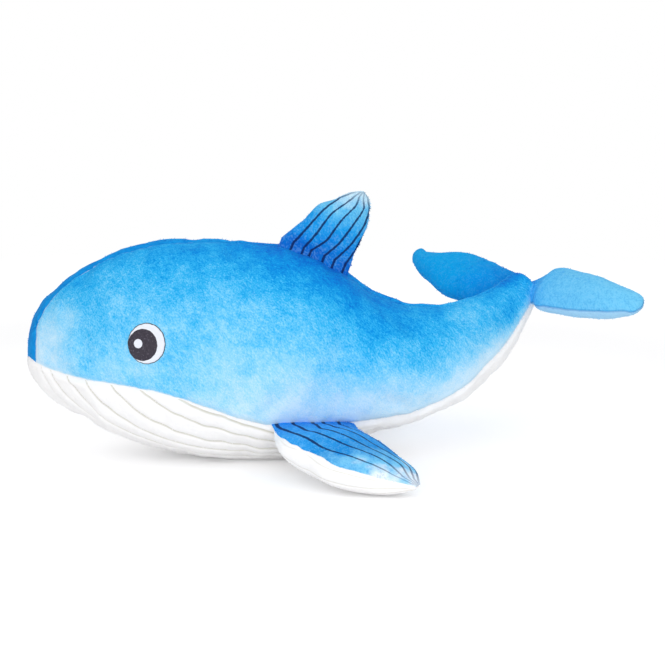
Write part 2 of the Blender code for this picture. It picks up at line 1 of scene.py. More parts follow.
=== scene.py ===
"""The looks of a stuffed toy whale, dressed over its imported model.

The cover is sewn from panels of short plush. Each panel is a closed sheet of fabric, laid on the same
smooth body as the solids, puffed up by a cloth simulation between its seams, and given its seam dents,
sewn ribs, pile and printed colours here. Metres, +X from the nose to the tail, +Y to the whale's right.
"""
import json
import math

import bmesh
import bpy
import numpy as np
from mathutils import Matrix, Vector
from mathutils.bvhtree import BVHTree

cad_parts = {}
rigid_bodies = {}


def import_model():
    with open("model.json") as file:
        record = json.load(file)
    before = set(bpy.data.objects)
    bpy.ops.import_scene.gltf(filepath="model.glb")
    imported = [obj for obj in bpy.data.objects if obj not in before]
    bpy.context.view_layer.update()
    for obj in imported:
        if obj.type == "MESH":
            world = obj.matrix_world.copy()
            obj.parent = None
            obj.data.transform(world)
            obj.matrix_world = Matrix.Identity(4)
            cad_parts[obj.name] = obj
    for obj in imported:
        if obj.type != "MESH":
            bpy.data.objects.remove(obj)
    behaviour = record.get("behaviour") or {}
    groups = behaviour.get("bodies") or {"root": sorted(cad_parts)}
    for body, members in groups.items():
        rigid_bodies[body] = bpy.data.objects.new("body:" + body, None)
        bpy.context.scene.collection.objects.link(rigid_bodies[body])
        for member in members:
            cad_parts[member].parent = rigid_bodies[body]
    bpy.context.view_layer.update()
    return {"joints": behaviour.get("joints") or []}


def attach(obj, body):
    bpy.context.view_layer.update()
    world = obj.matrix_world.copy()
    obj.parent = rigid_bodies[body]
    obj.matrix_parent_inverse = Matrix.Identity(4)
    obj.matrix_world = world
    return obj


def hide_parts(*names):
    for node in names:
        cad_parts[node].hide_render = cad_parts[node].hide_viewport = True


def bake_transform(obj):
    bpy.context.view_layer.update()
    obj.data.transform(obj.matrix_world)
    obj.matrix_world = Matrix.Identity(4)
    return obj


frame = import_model()

# Overall sizes of the body, as in the solids
BODY_LENGTH = 0.368
BODY_HEIGHT = 0.1595
BODY_WIDTH = 0.130
TAIL_SWING = 0.063
GUSSET_WIDTH = 0.0375

# Stations of the body: place along, rise, swing, height above and below the widest line, half width,
# how far down the belly's seam lies, and the gusset's half width, as shares of the sizes above
STATIONS = [
    (0.000, 0.000, 0.000, 0.000, 0.000, 0.000, -0.12, 0.50),
    (0.003, 0.000, 0.000, 0.092, 0.045, 0.075, -0.12, 0.50),
    (0.012, 0.000, 0.000, 0.178, 0.098, 0.148, -0.06, 0.50),
    (0.032, 0.000, 0.000, 0.256, 0.155, 0.219, 0.04, 0.45),
    (0.064, 0.000, 0.000, 0.330, 0.216, 0.284, 0.13, 0.35),
    (0.113, 0.000, 0.000, 0.406, 0.284, 0.349, 0.16, 0.25),
    (0.173, 0.000, 0.000, 0.477, 0.353, 0.405, 0.18, 0.19),
    (0.252, 0.000, 0.000, 0.525, 0.413, 0.456, 0.21, 0.14),
    (0.342, 0.000, 0.000, 0.537, 0.459, 0.490, 0.31, 0.10),
    (0.431, 0.000, 0.000, 0.524, 0.470, 0.500, 0.47, 0.04),
    (0.521, 0.000, 0.000, 0.496, 0.468, 0.483, 0.58, 0.00),
    (0.600, -0.007, 0.000, 0.422, 0.430, 0.433, 0.63, 0.00),
    (0.680, -0.018, 0.000, 0.312, 0.362, 0.365, 0.67, 0.00),
    (0.749, -0.027, 0.047, 0.266, 0.304, 0.303, 0.70, 0.00),
    (0.819, -0.014, 0.163, 0.240, 0.248, 0.247, 0.58, 0.00),
    (0.869, 0.022, 0.314, 0.213, 0.209, 0.204, 0.36, 0.00),
    (0.915, 0.078, 0.512, 0.184, 0.172, 0.168, 0.25, 0.00),
    (0.955, 0.143, 0.725, 0.148, 0.130, 0.138, 0.08, 0.00),
    (0.984, 0.205, 0.915, 0.120, 0.098, 0.114, 0.04, 0.00),
    (0.999, 0.241, 1.020, 0.096, 0.074, 0.092, 0.03, 0.00),
    (1.008, 0.258, 1.075, 0.000, 0.000, 0.000, 0.03, 0.00),
]
LAST_ROW = len(STATIONS) - 1
GUSSET_START = 2.6
GUSSET_END = 9.5
REST_ROW = 9.36
FLOOR_SINK = 0.0003

# Outlines of the limbs from root to tip: reach, middle of the chord, half chord and half thickness
DORSAL_OUTLINE = [
    (0.00, -0.050, 0.520, 0.280),
    (0.17, -0.013, 0.470, 0.400),
    (0.37, 0.043, 0.424, 0.500),
    (0.59, 0.095, 0.370, 0.470),
    (0.77, 0.169, 0.253, 0.370),
    (0.92, 0.216, 0.144, 0.220),
    (1.00, 0.238, 0.000, 0.000),
]
FIN_OUTLINE = [
    (0.00, 0.150, 0.560, 0.200),
    (0.16, 0.181, 0.622, 0.350),
    (0.36, 0.245, 0.675, 0.500),
    (0.58, 0.410, 0.622, 0.500),
    (0.78, 0.562, 0.562, 0.420),
    (0.93, 0.761, 0.347, 0.250),
    (1.00, 1.021, 0.000, 0.000),
]
LEFT_FLUKE_OUTLINE = [
    (0.00, 0.060, 0.310, 0.290),
    (0.04, 0.057, 0.366, 0.390),
    (0.12, 0.052, 0.392, 0.440),
    (0.29, 0.030, 0.383, 0.490),
    (0.50, 0.012, 0.345, 0.500),
    (0.70, -0.010, 0.277, 0.430),
    (0.86, -0.009, 0.204, 0.320),
    (0.96, -0.017, 0.144, 0.170),
    (1.00, -0.033, 0.000, 0.000),
]
RIGHT_FLUKE_OUTLINE = [
    (0.00, -0.080, 0.350, 0.160),
    (0.12, -0.066, 0.397, 0.350),
    (0.29, -0.008, 0.407, 0.490),
    (0.50, 0.040, 0.396, 0.500),
    (0.70, 0.074, 0.282, 0.430),
    (0.86, 0.111, 0.178, 0.320),
    (0.96, 0.202, 0.136, 0.170),
    (1.00, 0.210, 0.000, 0.000),
]

# Printed lines of the fins: how far across each lies, in millimetres, at these shares of the reach
LINE_REACHES = (0, 0.20, 0.40, 0.60, 0.80, 0.92, 1)
DORSAL_LINES = [
    (-18.0, -16.5, -16.0, -14.0, -11.5, -6.5, -2.0),
    (-9.5, -8.3, -8.5, -7.7, -5.0, -3.0, -1.0),
    (-4.0, 0.6, 0.4, 1.1, 1.4, -0.3, 0.0),
    (6.5, 9.4, 9.6, 9.7, 7.5, 2.8, 0.8),
    (14.5, 17.1, 17.2, 16.6, 11.7, 6.2, 1.6),
    (22.9, 23.3, 21.5, 22.5, 20.0, 14.0, 4.0),
]
FIN_LINES = [
    (-28.5, -26.0, -24.3, -21.0, -9.0, -1.5, 0.0),
    (-17.3, -16.0, -12.3, -6.0, 5.5, 5.5, 2.0),
    (-3.0, -4.3, 0.2, 5.6, 16.0, 11.0, 3.5),
    (5.0, 7.4, 13.5, 17.2, 23.5, 15.5, 5.0),
    (17.0, 19.5, 26.5, 30.8, 29.3, 19.0, 6.5),
]

# Fabric and sewing
FABRIC = 0.0014
HEM = 0.0030
SEAM_DENT = 0.0016
SEAM_SPREAD = 0.0026
PUCKER = 0.00035
RIB_DENT = 0.0015
RIB_SPREAD = 0.0011
RIB_CROWN = 0.0007
SLIM_GIRTH = 0.042

# How finely the cover is cut, how close two points are that are one, and where the belly gets coarser
CELL = 0.0013
CLOTH_CELL = 0.0058
SAME_PLACE = 2e-6
BELLY_FINE_END = 9

# Unevenness, as layers of noise: how strong, the size of its bumps, and a seed
GATHERS = ((1, 0.0042, 3), (0.6, 0.0085, 4))
SWELLS = ((0.00040, 0.021, 5),)
RUMPLES = ((0.00020, 0.0075, 6), (0.00010, 0.0032, 7))
RIB_WOBBLE = ((0.0007, 0.016, 11), (0.0003, 0.006, 12))
LIMB_GATHERS = ((1, 0.0045, 23), (0.5, 0.009, 24))
LIMB_RUMPLES = ((0.0004, 0.016, 25), (0.00022, 0.007, 26))
BLOTS = ((0.06, 0.026, 31), (0.07, 0.011, 32), (0.03, 0.005, 33))


# Smooth curves through the tables

def with_ends(table):
    """The table with a row more at each end. An end that closes to a point is mirrored, to close round."""
    table = np.array(table, float)

    def beyond(pole, near):
        if pole[3] != 0:
            return 2 * pole - near
        row = near.copy()
        row[3:6] *= -1
        return row

    return np.vstack([beyond(table[0], table[1]), table, beyond(table[-1], table[-2])])


def on_curve(table, rows):
    """The table's values at row numbers that may lie between two rows."""
    padded = with_ends(table)
    rows = np.asarray(rows, float)
    low = np.clip(rows.astype(int), 0, len(table) - 2)
    part = (rows - low)[..., None]
    p0, p1, p2, p3 = (padded[low + step] for step in range(4))
    slope_in = (p2 - p0) / 2
    slope_out = (p3 - p1) / 2
    bend = 2 * (p1 - p2) + slope_in + slope_out
    curve = 3 * (p2 - p1) - 2 * slope_in - slope_out
    return ((bend * part + curve) * part + slope_in) * part + p1


def unit(vectors):
    """The vectors with a length of one."""
    return vectors / np.maximum(np.linalg.norm(vectors, axis=-1, keepdims=True), 1e-12)


def eased(values, low, high):
    """0 below low and 1 above high, with a smooth passage."""
    share = np.clip((values - low) / (high - low), 0, 1)
    return share * share * (3 - 2 * share)


def hump(values, middle, width):
    """A smooth hump of height one."""
    return np.exp(-(((values - middle) / width) ** 2))


def lattice(x, y, z, seed):
    """A repeatable random number from 0 to 1 at each whole place of a lattice."""
    mixed = x * 374761393 + y * 668265263 + z * 2147483647 + seed * 1274126177
    mixed = (mixed ^ (mixed >> 13)) * 1103515245
    return ((mixed ^ (mixed >> 16)) & 0xFFFFFF) / 0xFFFFFF


def noise(places, size, seed=0):
    """Smooth random values from -1 to 1, whose bumps are about this size."""
    scaled = np.asarray(places, float) / size
    whole = np.floor(scaled).astype(np.int64)
    part = scaled - whole
    part = part * part * part * (part * (part * 6 - 15) + 10)
    total = np.zeros(scaled.shape[:-1])
    for corner in range(8):
        steps = [(corner >> axis) & 1 for axis in range(3)]
        weight = np.ones(scaled.shape[:-1])
        for axis, step in enumerate(steps):
            weight = weight * (part[..., axis] if step else 1 - part[..., axis])
        cells = [whole[..., axis] + step for axis, step in enumerate(steps)]
        total += weight * lattice(*cells, seed)
    return total * 2 - 1


def uneven(places, layers):
    """Several layers of noise together."""
    return sum(strength * noise(places, size, seed) for strength, size, seed in layers)


# The smooth body that the panels lie on

LOWEST = max(row[4] for row in STATIONS)
SPINE_HEIGHT = BODY_HEIGHT * LOWEST - FLOOR_SINK
REST_X = BODY_LENGTH * on_curve(STATIONS, REST_ROW)[0]


def spine(rows):
    """Places on the body's widest line."""
    values = on_curve(STATIONS, rows)
    return np.stack([
        BODY_LENGTH * values[..., 0] - REST_X,
        TAIL_SWING * values[..., 2],
        SPINE_HEIGHT + BODY_HEIGHT * values[..., 1],
    ], -1)


def spine_axes(rows):
    """Unit vectors along the spine, to the whale's right and up."""
    rows = np.asarray(rows, float)
    step = 0.05
    along = unit(spine(np.minimum(rows + step, LAST_ROW)) - spine(np.maximum(rows - step, 0)))
    along = np.where((rows > 1)[..., None], along, np.array([1.0, 0, 0]))
    right = unit(np.stack([-along[..., 1], along[..., 0], np.zeros(rows.shape)], -1))
    return along, right, np.cross(along, right)


def on_body(rows, angles):
    """Places on the smooth body. Angle 0 is the right side and a quarter turn is the top."""
    rows, angles = np.broadcast_arrays(np.asarray(rows, float), np.asarray(angles, float))
    values = on_curve(STATIONS, rows)
    along, right, up = spine_axes(rows)
    height = BODY_HEIGHT * np.where(np.sin(angles) > 0, values[..., 3], values[..., 4])
    across = (BODY_WIDTH * values[..., 5] * np.cos(angles))[..., None]
    return spine(rows) + right * across + up * (height * np.sin(angles))[..., None]


def off_body(rows, angles):
    """Unit vectors out of the smooth body."""
    rows, angles = np.broadcast_arrays(np.asarray(rows, float), np.asarray(angles, float))
    inside = np.clip(rows, 0.03, LAST_ROW - 0.03)
    turn = math.radians(1)
    lengthwise = on_body(inside + 0.025, angles) - on_body(inside - 0.025, angles)
    around = on_body(inside, angles + turn) - on_body(inside, angles - turn)
    normal = unit(np.cross(around, lengthwise))
    outward = on_body(inside, angles) - spine(inside)
    normal *= np.sign((normal * outward).sum(-1, keepdims=True))
    pole = (rows - inside)[..., None] / 0.03
    ahead = spine_axes(rows)[0]
    return unit(normal * (1 - np.abs(pole)) + ahead * pole)


def belly_angle(rows):
    """How far below the widest line the belly's seam lies."""
    return np.arcsin(np.clip(on_curve(STATIONS, rows)[..., 6], -0.2, 1))


def gusset_angle(rows):
    """Where the gusset's edge, or behind it the ridge, lies from the right side."""
    rows = np.asarray(rows, float)
    values = on_curve(STATIONS, rows)
    taper = eased(rows, GUSSET_END, GUSSET_END - 2)
    half = GUSSET_WIDTH * np.maximum(values[..., 7], 0) * np.minimum(taper * 3, 1)
    width = np.maximum(BODY_WIDTH * np.abs(values[..., 5]), 1e-9)
    edge = np.arccos(np.clip(half / width, 0, 1))
    return np.where(rows >= GUSSET_END, math.pi / 2, edge)


def even_steps(values, paths, cell):
    """Values between these ones, whose places lie about a cell apart on the paths."""
    steps = np.max([np.linalg.norm(np.diff(path, axis=0), axis=1) for path in paths], axis=0)
    run = np.concatenate([[0], np.cumsum(steps)])
    count = max(int(round(run[-1] / cell)), 1)
    return np.interp(np.linspace(0, run[-1], count + 1), run, values)


def even_rows(first, last, cell):
    """Row numbers from first to last that lie about a cell apart on the body."""
    fine = np.linspace(first, last, 3000)
    paths = [on_body(fine, angle) for angle in (-math.pi / 2, 0.0, math.pi / 2, math.pi)]
    return even_steps(fine, paths, cell)


# Grids of points, and the closed pieces made from them

def circle(count):
    """Angles evenly spaced once round."""
    return 2 * math.pi * np.arange(count) / count


def full_grid(rows, angles):
    """The row number and the angle at each place of a grid."""
    return np.meshgrid(rows, angles, indexing="ij")


def run_along(points, axis):
    """Distance from the first line of a grid to each place, along one of its two directions."""
    steps = np.linalg.norm(np.diff(points, axis=axis), axis=2)
    start = np.zeros_like(np.take(steps, [0], axis=axis))
    return np.concatenate([start, np.cumsum(steps, axis=axis)], axis=axis)


def grid_faces(height, width, first=0):
    """The squares of a grid as rows of four point numbers."""
    corner = first + np.arange(height - 1)[:, None] * width + np.arange(width - 1)[None, :]
    return np.stack([corner, corner + 1, corner + width + 1, corner + width], -1).reshape(-1, 4)


def new_object(name, data):
    """An object in the scene."""
    obj = bpy.data.objects.new(name, data)
    bpy.context.scene.collection.objects.link(obj)
    return obj


def mesh_object(name, points, faces, values=None):
    """A smooth object from points and faces, with a named value at each point."""
    mesh = bpy.data.meshes.new(name)
    mesh.from_pydata(np.asarray(points).tolist(), [], faces)
    mesh.validate()
    mesh.update()
    for key, numbers in (values or {}).items():
        layer = mesh.attributes.new(key, "FLOAT", "POINT")
        layer.data.foreach_set("value", np.asarray(numbers, np.float32))
    rest = mesh.attributes.new("rest", "FLOAT_VECTOR", "POINT")
    rest.data.foreach_set("vector", np.asarray(points, np.float32).reshape(-1))
    mesh.shade_smooth()
    return new_object(name, mesh)


def face_outwards(obj):
    """Turns the faces of a closed piece outwards."""
    shape = bmesh.new()
    shape.from_mesh(obj.data)
    bmesh.ops.recalc_face_normals(shape, faces=shape.faces)
    shape.to_mesh(obj.data)
    shape.free()
    return obj


def closed_rings(name, rings):
    """A closed piece from rings of points, with a point in the middle of each end."""
    height, width = rings.shape[:2]
    points = np.vstack([rings.reshape(-1, 3), rings[0].mean(0), rings[-1].mean(0)])
    here = np.arange(height * width).reshape(height, width)
    after = np.roll(here, -1, axis=1)
    faces = np.stack([here[:-1], after[:-1], after[1:], here[1:]], -1).reshape(-1, 4).tolist()
    front, back = height * width, height * width + 1
    last = front - width
    for column, following in enumerate(after[0].tolist()):
        faces.append([front, following, column])
        faces.append([back, last + column, last + following])
    return face_outwards(mesh_object(name, points, faces))


def welded(points, faces):
    """Which points to keep where some coincide, and the faces between these that have a width."""
    keys = np.round(points / SAME_PLACE).astype(np.int64)
    _, first, number = np.unique(keys, axis=0, return_index=True, return_inverse=True)
    kept = []
    for face in number.reshape(-1)[faces].tolist():
        corners = [corner for index, corner in enumerate(face) if corner != face[index - 1]]
        if len(set(corners)) == len(corners) and len(corners) > 2:
            kept.append(corners)
    return first, kept


def fabric(name, blocks):
    """A closed sheet of fabric. Each block is a grid of outer points, one of normals and named values.

    The value called depth is how thick the sheet is.
    """
    faces, start = [], 0
    for outer, _, _ in blocks:
        height, width = outer.shape[:2]
        faces.append(grid_faces(height, width, start))
        start += height * width
    points, normals = (np.concatenate([block[i].reshape(-1, 3) for block in blocks]) for i in (0, 1))
    values = {key: np.concatenate([block[2][key].reshape(-1) for block in blocks]) for key in blocks[0][2]}
    first, faces = welded(points, np.concatenate(faces))
    points, normals = points[first], normals[first]

    middle = faces[len(faces) // 2]
    corner = [points[index] for index in middle[:3]]
    if np.cross(corner[1] - corner[0], corner[2] - corner[1]) @ normals[middle[0]] < 0:
        faces = [face[::-1] for face in faces]
    count = len(points)
    inner = points - normals * values.pop("depth")[first][:, None]
    edges = {(face[index - 1], face[index]) for face in faces for index in range(len(face))}
    rim = sorted((a, b) for a, b in edges if (b, a) not in edges)
    shell = faces + [[corner + count for corner in reversed(face)] for face in faces]
    shell += [[b, a, a + count, b + count] for a, b in rim]
    values = {key: np.tile(value[first], 2) for key, value in values.items()}
    values["outer"] = np.repeat([1.0, 0.0], count)
    return mesh_object(name, np.concatenate([points, inner]), shell, values)


# Cloth: each bag is puffed up between its seams

CLOTH_FRAMES = 20
BODY_BAG_COLUMNS = 76
LIMB_BAG_COLUMNS = 30
CLOTH = {
    "quality": 6,
    "mass": 0.2,
    "tension_stiffness": 12,
    "compression_stiffness": 12,
    "shear_stiffness": 6,
    "bending_stiffness": 0.2,
    "air_damping": 2,
    "use_pressure": True,
    "uniform_pressure_force": 4,
    "shrink_min": -0.035,
    "vertex_group_mass": "held",
}


class Bag:
    """A ring grid that the cloth simulation puffs up. Its columns run once round it."""

    def __init__(self, name, rest, normals, places, held, slack):
        self.rest, self.normals, self.places = rest, normals, places
        self.obj = closed_rings(name, rest - normals * slack[..., None])
        group = self.obj.vertex_groups.new(name="held")
        for index, weight in enumerate([*held.reshape(-1), 1, 1]):
            if weight > 0.01:
                group.add([index], float(weight), "REPLACE")
        cloth = self.obj.modifiers.new("cloth", "CLOTH")
        for key, value in CLOTH.items():
            setattr(cloth.settings, key, value)
        cloth.settings.effector_weights.gravity = 0
        cloth.collision_settings.use_collision = False
        cloth.collision_settings.use_self_collision = False
        cloth.point_cache.frame_start = 1
        cloth.point_cache.frame_end = CLOTH_FRAMES

    def settle(self):
        """How far the cloth now stands off its rest shape, at each point of the grid."""
        found = self.obj.evaluated_get(bpy.context.evaluated_depsgraph_get())
        moved = np.zeros(len(self.obj.data.vertices) * 3)
        found.data.vertices.foreach_get("co", moved)
        moved = moved[:self.rest.size].reshape(self.rest.shape)
        stand = ((moved - self.rest) * self.normals).sum(-1)
        self.stand = stand - np.median(stand)
        bpy.data.objects.remove(self.obj)

    def stand_off(self, places, turns, low, high):
        """The stand-off at finer places, kept between low and high, on a smooth cubic surface."""
        field = np.clip(self.stand, low, high)
        height, width = field.shape
        down = np.interp(places, self.places, np.arange(height))
        across = (turns % 1) * width
        total = np.zeros(np.broadcast(down, across).shape)
        weights = []
        for value in (down, across):
            part = value - np.floor(value)
            weights.append((
                (1 - part) ** 3 / 6,
                (3 * part ** 3 - 6 * part ** 2 + 4) / 6,
                (-3 * part ** 3 + 3 * part ** 2 + 3 * part + 1) / 6,
                part ** 3 / 6,
            ))
        for i in range(4):
            row = np.clip(np.floor(down).astype(int) + i - 1, 0, height - 1)
            for j in range(4):
                column = (np.floor(across).astype(int) + j - 1) % width
                total += weights[0][i] * weights[1][j] * field[row, column]
        return total


def settle_all(bags):
    """Runs the simulation of all bags together."""
    for step in range(1, CLOTH_FRAMES + 1):
        bpy.context.scene.frame_set(step)
    for bag in bags:
        bag.settle()
    bpy.context.scene.frame_set(1)


# The body's cover

# Sewn lines of the belly: the row where each leaves the blue seam, and how far from the middle it ends
RIB_LINES = [
    (3.1, 0.006), (3.7, 0.017), (4.49, 0.027), (5.21, 0.036), (6.01, 0.044), (6.78, 0.055), (7.6, 0.065),
]
RIB_CURVE = 1.65
RIB_FULL_ROW = 8.6
RIB_FADE = (12.4, 10.8)

# The stand-off that the simulation may give, and how far from a seam its puckers reach
BODY_PUFF = (-0.0014, 0.0010)
LIMB_PUFF = (-0.0012, 0.0012)
BODY_PUCKERS = 0.006
LIMB_PUCKERS = 0.007


def body_bag():
    """The whole body cover as a bag, held at its seams."""
    rows = even_rows(0.3, LAST_ROW - 0.15, CLOTH_CELL)
    grid, turn = full_grid(rows, circle(BODY_BAG_COLUMNS))
    belly, top = belly_angle(grid), gusset_angle(grid)
    width = 2 * math.pi / BODY_BAG_COLUMNS
    held = np.zeros(grid.shape)
    for edge in (-belly, math.pi + belly, top, math.pi - top):
        away = np.abs((turn - edge + math.pi) % (2 * math.pi) - math.pi) / width
        held = np.maximum(held, np.clip(1.1 - away, 0, 1))
    held[grid < GUSSET_START + 0.2] = 0.6
    slack = 0.0012 + 0.0006 * held
    return Bag("body_bag", on_body(grid, turn), off_body(grid, turn), rows, held, slack)


class Root:
    """A line on the body where a limb is sewn on. The cover is drawn in round it."""

    def __init__(self, place, along, half, dent, spread):
        self.place, self.along, self.half = np.array(place), np.array(along), half
        self.dent, self.spread = dent, spread

    def pull(self, points):
        """How deep the cover is drawn in at these places."""
        offset = points - self.place
        share = np.clip(offset @ self.along, -self.half, self.half)
        away = np.linalg.norm(offset - share[..., None] * self.along, axis=-1)
        return self.dent * np.exp(-((away / self.spread) ** 2))


def ridge_pull(rows):
    """How strongly the seam along the top shows. Behind the gusset it hardly does."""
    return 1 - 0.75 * eased(rows, 8.6, GUSSET_END)


def drawn_in(distance):
    """How much of the seam's dent is left at a distance from it."""
    return np.exp(-((distance / SEAM_SPREAD) ** 2))


def soft_height(base, rows, angles, seam, dent, bag, roots):
    """How far the cover stands off the smooth body: puffed cloth, dents at the seams, puckers and nap."""
    height = bag.stand_off(rows, angles / (2 * math.pi), *BODY_PUFF)
    height -= SEAM_DENT * dent
    height += PUCKER * uneven(base, GATHERS) * np.exp(-seam / BODY_PUCKERS)
    height += uneven(base * np.array([1, 1, 0.8]), SWELLS) + uneven(base, RUMPLES)
    for root in roots:
        height -= root.pull(base)
    return height


def rib_height(rows, across, seam, base):
    """The sewn ribs of the belly. across is the distance from the middle of the belly."""
    first_column, halves = rows[:, 0], across[:, -1]
    narrow = np.minimum(halves / np.interp(RIB_FULL_ROW, first_column, halves), 1)
    narrow = np.where(first_column > RIB_FULL_ROW, narrow, 1)
    lines = np.stack([
        rest * narrow
        + (np.interp(first, first_column, halves) - rest) * np.exp(-(first_column - first) / RIB_CURVE)
        for first, rest in RIB_LINES
    ], -1)
    lines = np.concatenate([-lines[:, :1], lines, lines[:, -1:] + 0.012], 1)[:, None, :]
    side = np.abs(across) + uneven(base, RIB_WOBBLE)
    lines = lines + 0 * side[..., None]
    above = (side[..., None] >= lines[..., 1:-1]).sum(-1)[..., None]
    low = np.take_along_axis(lines, above, -1)[..., 0]
    high = np.take_along_axis(lines, above + 1, -1)[..., 0]
    near = np.maximum(np.minimum(side - low, high - side), 0)
    share = np.clip(near / np.maximum((high - low) / 2, 1e-6), 0, 1)
    crown = RIB_CROWN * (1 - (1 - share) ** 2.2)
    dent = RIB_DENT * (1 + 0.3 * noise(base, 0.012, 13)) * np.exp(-((near / RIB_SPREAD) ** 1.3))
    sewn = eased(seam, 0.0005, 0.0035) * eased(rows, *RIB_FADE)
    creases = noise(base * np.array([1.7, 1, 0.6]), 0.010, 14) * eased(rows, 9.8, 11.8)
    return (crown - dent) * sewn + 0.0009 * creases * eased(seam, 0.0005, 0.004), near


def deepness(rows, rise, base):
    """How deep the printed blue is, made paler by a painted sheen at the front of the head and a painted
    highlight on the tail's top. rise runs from 0 at the belly's seam to 1 on the ridge.
    """
    along = on_curve(STATIONS, rows)[..., 0]
    head = 1 - eased(along, 0.28, 0.42)
    deep = np.interp(rise, (0, 0.15, 0.37, 0.6, 0.82, 1), (0.05, 0.15, 0.38, 0.56, 0.73, 0.83))
    deep += head * (0.03 + 0.24 * (1 - eased(rise, 0, 0.5)) - 0.07 * eased(rise, 0.45, 0.7))
    # Painted sheen: paler towards the front of the head.
    deep -= 0.41 * (1 - eased(along, 0, 0.16))
    behind_dorsal = hump(along, 0.53, 0.09) * eased(rise, 0.5, 0.9)
    flank = hump(along, 0.68, 0.12) * hump(rise, 0.62, 0.3)
    # Painted highlight: the top of the tail is made paler, as if lit.
    tail_top_highlight = hump(along, 0.88, 0.05) * eased(rise, 0.4, 0.8)
    tail_side = hump(along, 0.94, 0.045) * hump(rise, 0.25, 0.22)
    low_rear = eased(along, 0.42, 0.55) * (1 - eased(rise, 0.1, 0.35))
    deep += 0.20 * behind_dorsal + 0.14 * flank - 0.24 * tail_top_highlight + 0.36 * tail_side
    return deep + 0.18 * eased(along, 0.955, 1.0) - 0.08 * low_rear + uneven(base, BLOTS)


def body_block(rows, angles, seam, dent, rise, bag, roots, extra=0, values=None):
    """A block of the cover: its outer points, normals and named values."""
    base, normal = on_body(rows, angles), off_body(rows, angles)
    girth = BODY_WIDTH * np.abs(on_curve(STATIONS, rows)[..., 5])
    slim = np.clip(girth / SLIM_GIRTH, 0.12, 1)
    height = soft_height(base, rows, angles, seam, dent, bag, roots) * slim + extra
    outer = base + normal * height[..., None]
    outer[..., 2] = np.maximum(outer[..., 2], 0.0002 + 0.2 * FLOOR_SINK)
    depth = (FABRIC + HEM * np.exp(-seam / FABRIC)) * slim
    every = {"seam": seam, "deep": deepness(rows, rise, base), "depth": depth}
    every.update(values or {})
    return outer, normal, every


def edge_distances(base):
    """Distance to the first and the last column of a grid, along its lines."""
    run = run_along(base, 1)
    return run, run[:, -1:] - run


def side_panel(name, side, bag, roots):
    """A blue side of the body, from the belly's seam up to the gusset and the ridge."""
    rows = even_rows(GUSSET_START, LAST_ROW, CELL)
    low, high = -belly_angle(rows), gusset_angle(rows)
    share = np.linspace(0, 1, 125)
    angles = low[:, None] + (high - low)[:, None] * share
    if side < 0:
        angles = math.pi - angles
    grid = rows[:, None] + 0 * angles
    base = on_body(grid, angles)
    below, above = edge_distances(base)
    front = run_along(base, 0)
    seam = np.minimum(np.minimum(below, above), front)
    dent = np.maximum(drawn_in(np.minimum(below, front)), drawn_in(above) * ridge_pull(grid))
    rise = share[None, :] + 0 * grid
    block = body_block(grid, angles, seam, dent, rise, bag, roots, values={
        "low": below, "high": np.minimum(above, front) + 0.01 * eased(grid, 5.5, 7.5),
    })
    return fabric(name, [block])


def belly_panel(bag, roots):
    """The white belly with its sewn ribs."""
    rows = np.concatenate([
        even_rows(0, BELLY_FINE_END, CELL * 1.25)[:-1], even_rows(BELLY_FINE_END, LAST_ROW, CELL * 2),
    ])
    low = belly_angle(rows)
    angles = (math.pi + low)[:, None] + (math.pi - 2 * low)[:, None] * np.linspace(0, 1, 201)
    grid = rows[:, None] + 0 * angles
    base = on_body(grid, angles)
    first, last = edge_distances(base)
    seam = np.minimum(first, last)
    ribs, near = rib_height(grid, first - first[:, -1:] / 2, seam, base)
    # rib and sewn place the belly's painted shade in the grooves of its ribs
    block = body_block(grid, angles, seam, drawn_in(seam), 0 * grid, bag, roots, ribs, {
        "rib": near, "sewn": eased(grid, *RIB_FADE),
    })
    return fabric("belly", [block])


def gusset_panel(bag, roots):
    """The deep blue strip over the nose and the top of the head, with the cap above the mouth."""
    def block(grid, angles, seam, dent):
        return body_block(grid, angles, seam, dent, 0.8 + 0 * grid, bag, roots)

    rows = even_rows(0, GUSSET_START, CELL)
    edge = float(gusset_angle(GUSSET_START))
    low = -belly_angle(rows)[:, None]
    across, side_share = np.linspace(0, 1, 31), np.linspace(0, 1, 41)
    blocks = []
    for start, end, share in (
        (low, edge, side_share),
        (edge, math.pi - edge, across),
        (math.pi - edge, math.pi - low, side_share),
    ):
        angles = start + (end - start) * share + 0 * rows[:, None]
        grid = rows[:, None] + 0 * angles
        base = on_body(grid, angles)
        run = run_along(base, 0)
        corner = on_body(grid, np.where(angles < math.pi / 2, low, math.pi - low))
        seam = np.linalg.norm(base - corner, axis=-1)
        if share is side_share:
            seam = np.minimum(seam, run[-1:] - run)
        blocks.append(block(grid, angles, seam, drawn_in(seam)))
    rows = even_rows(GUSSET_START, GUSSET_END, CELL)
    top = gusset_angle(rows)[:, None]
    angles = top + (math.pi - 2 * top) * across
    grid = rows[:, None] + 0 * angles
    seam = np.minimum(*edge_distances(on_body(grid, angles)))
    blocks.append(block(grid, angles, seam, drawn_in(seam) * ridge_pull(grid)))
    return fabric("gusset", blocks)


# Fins and flukes

# How far in degrees the edge seam lies above the widest line, at these shares of the reach
FIN_SEAM = ((0.0, 8), (0.09, 13), (0.33, 28), (0.8, 34), (0.93, 46), (1.0, 46))
FLUKE_SEAM = ((0.0, 0), (0.15, 14), (0.9, 14), (1.0, 0))
STRAIGHT_SEAM = ((0.0, 0), (1.0, 0))
FLUKE_SUNK_END = (-0.13, 0.20, 0.22)

joint_places = {joint["name"]: np.array(joint["pos_m"]) for joint in frame["joints"]}


def turned(direction, up):
    """The part of up that is square to direction, as a unit vector."""
    direction, up = unit(np.array(direction, float)), np.array(up, float)
    return unit(up - direction * (up @ direction))


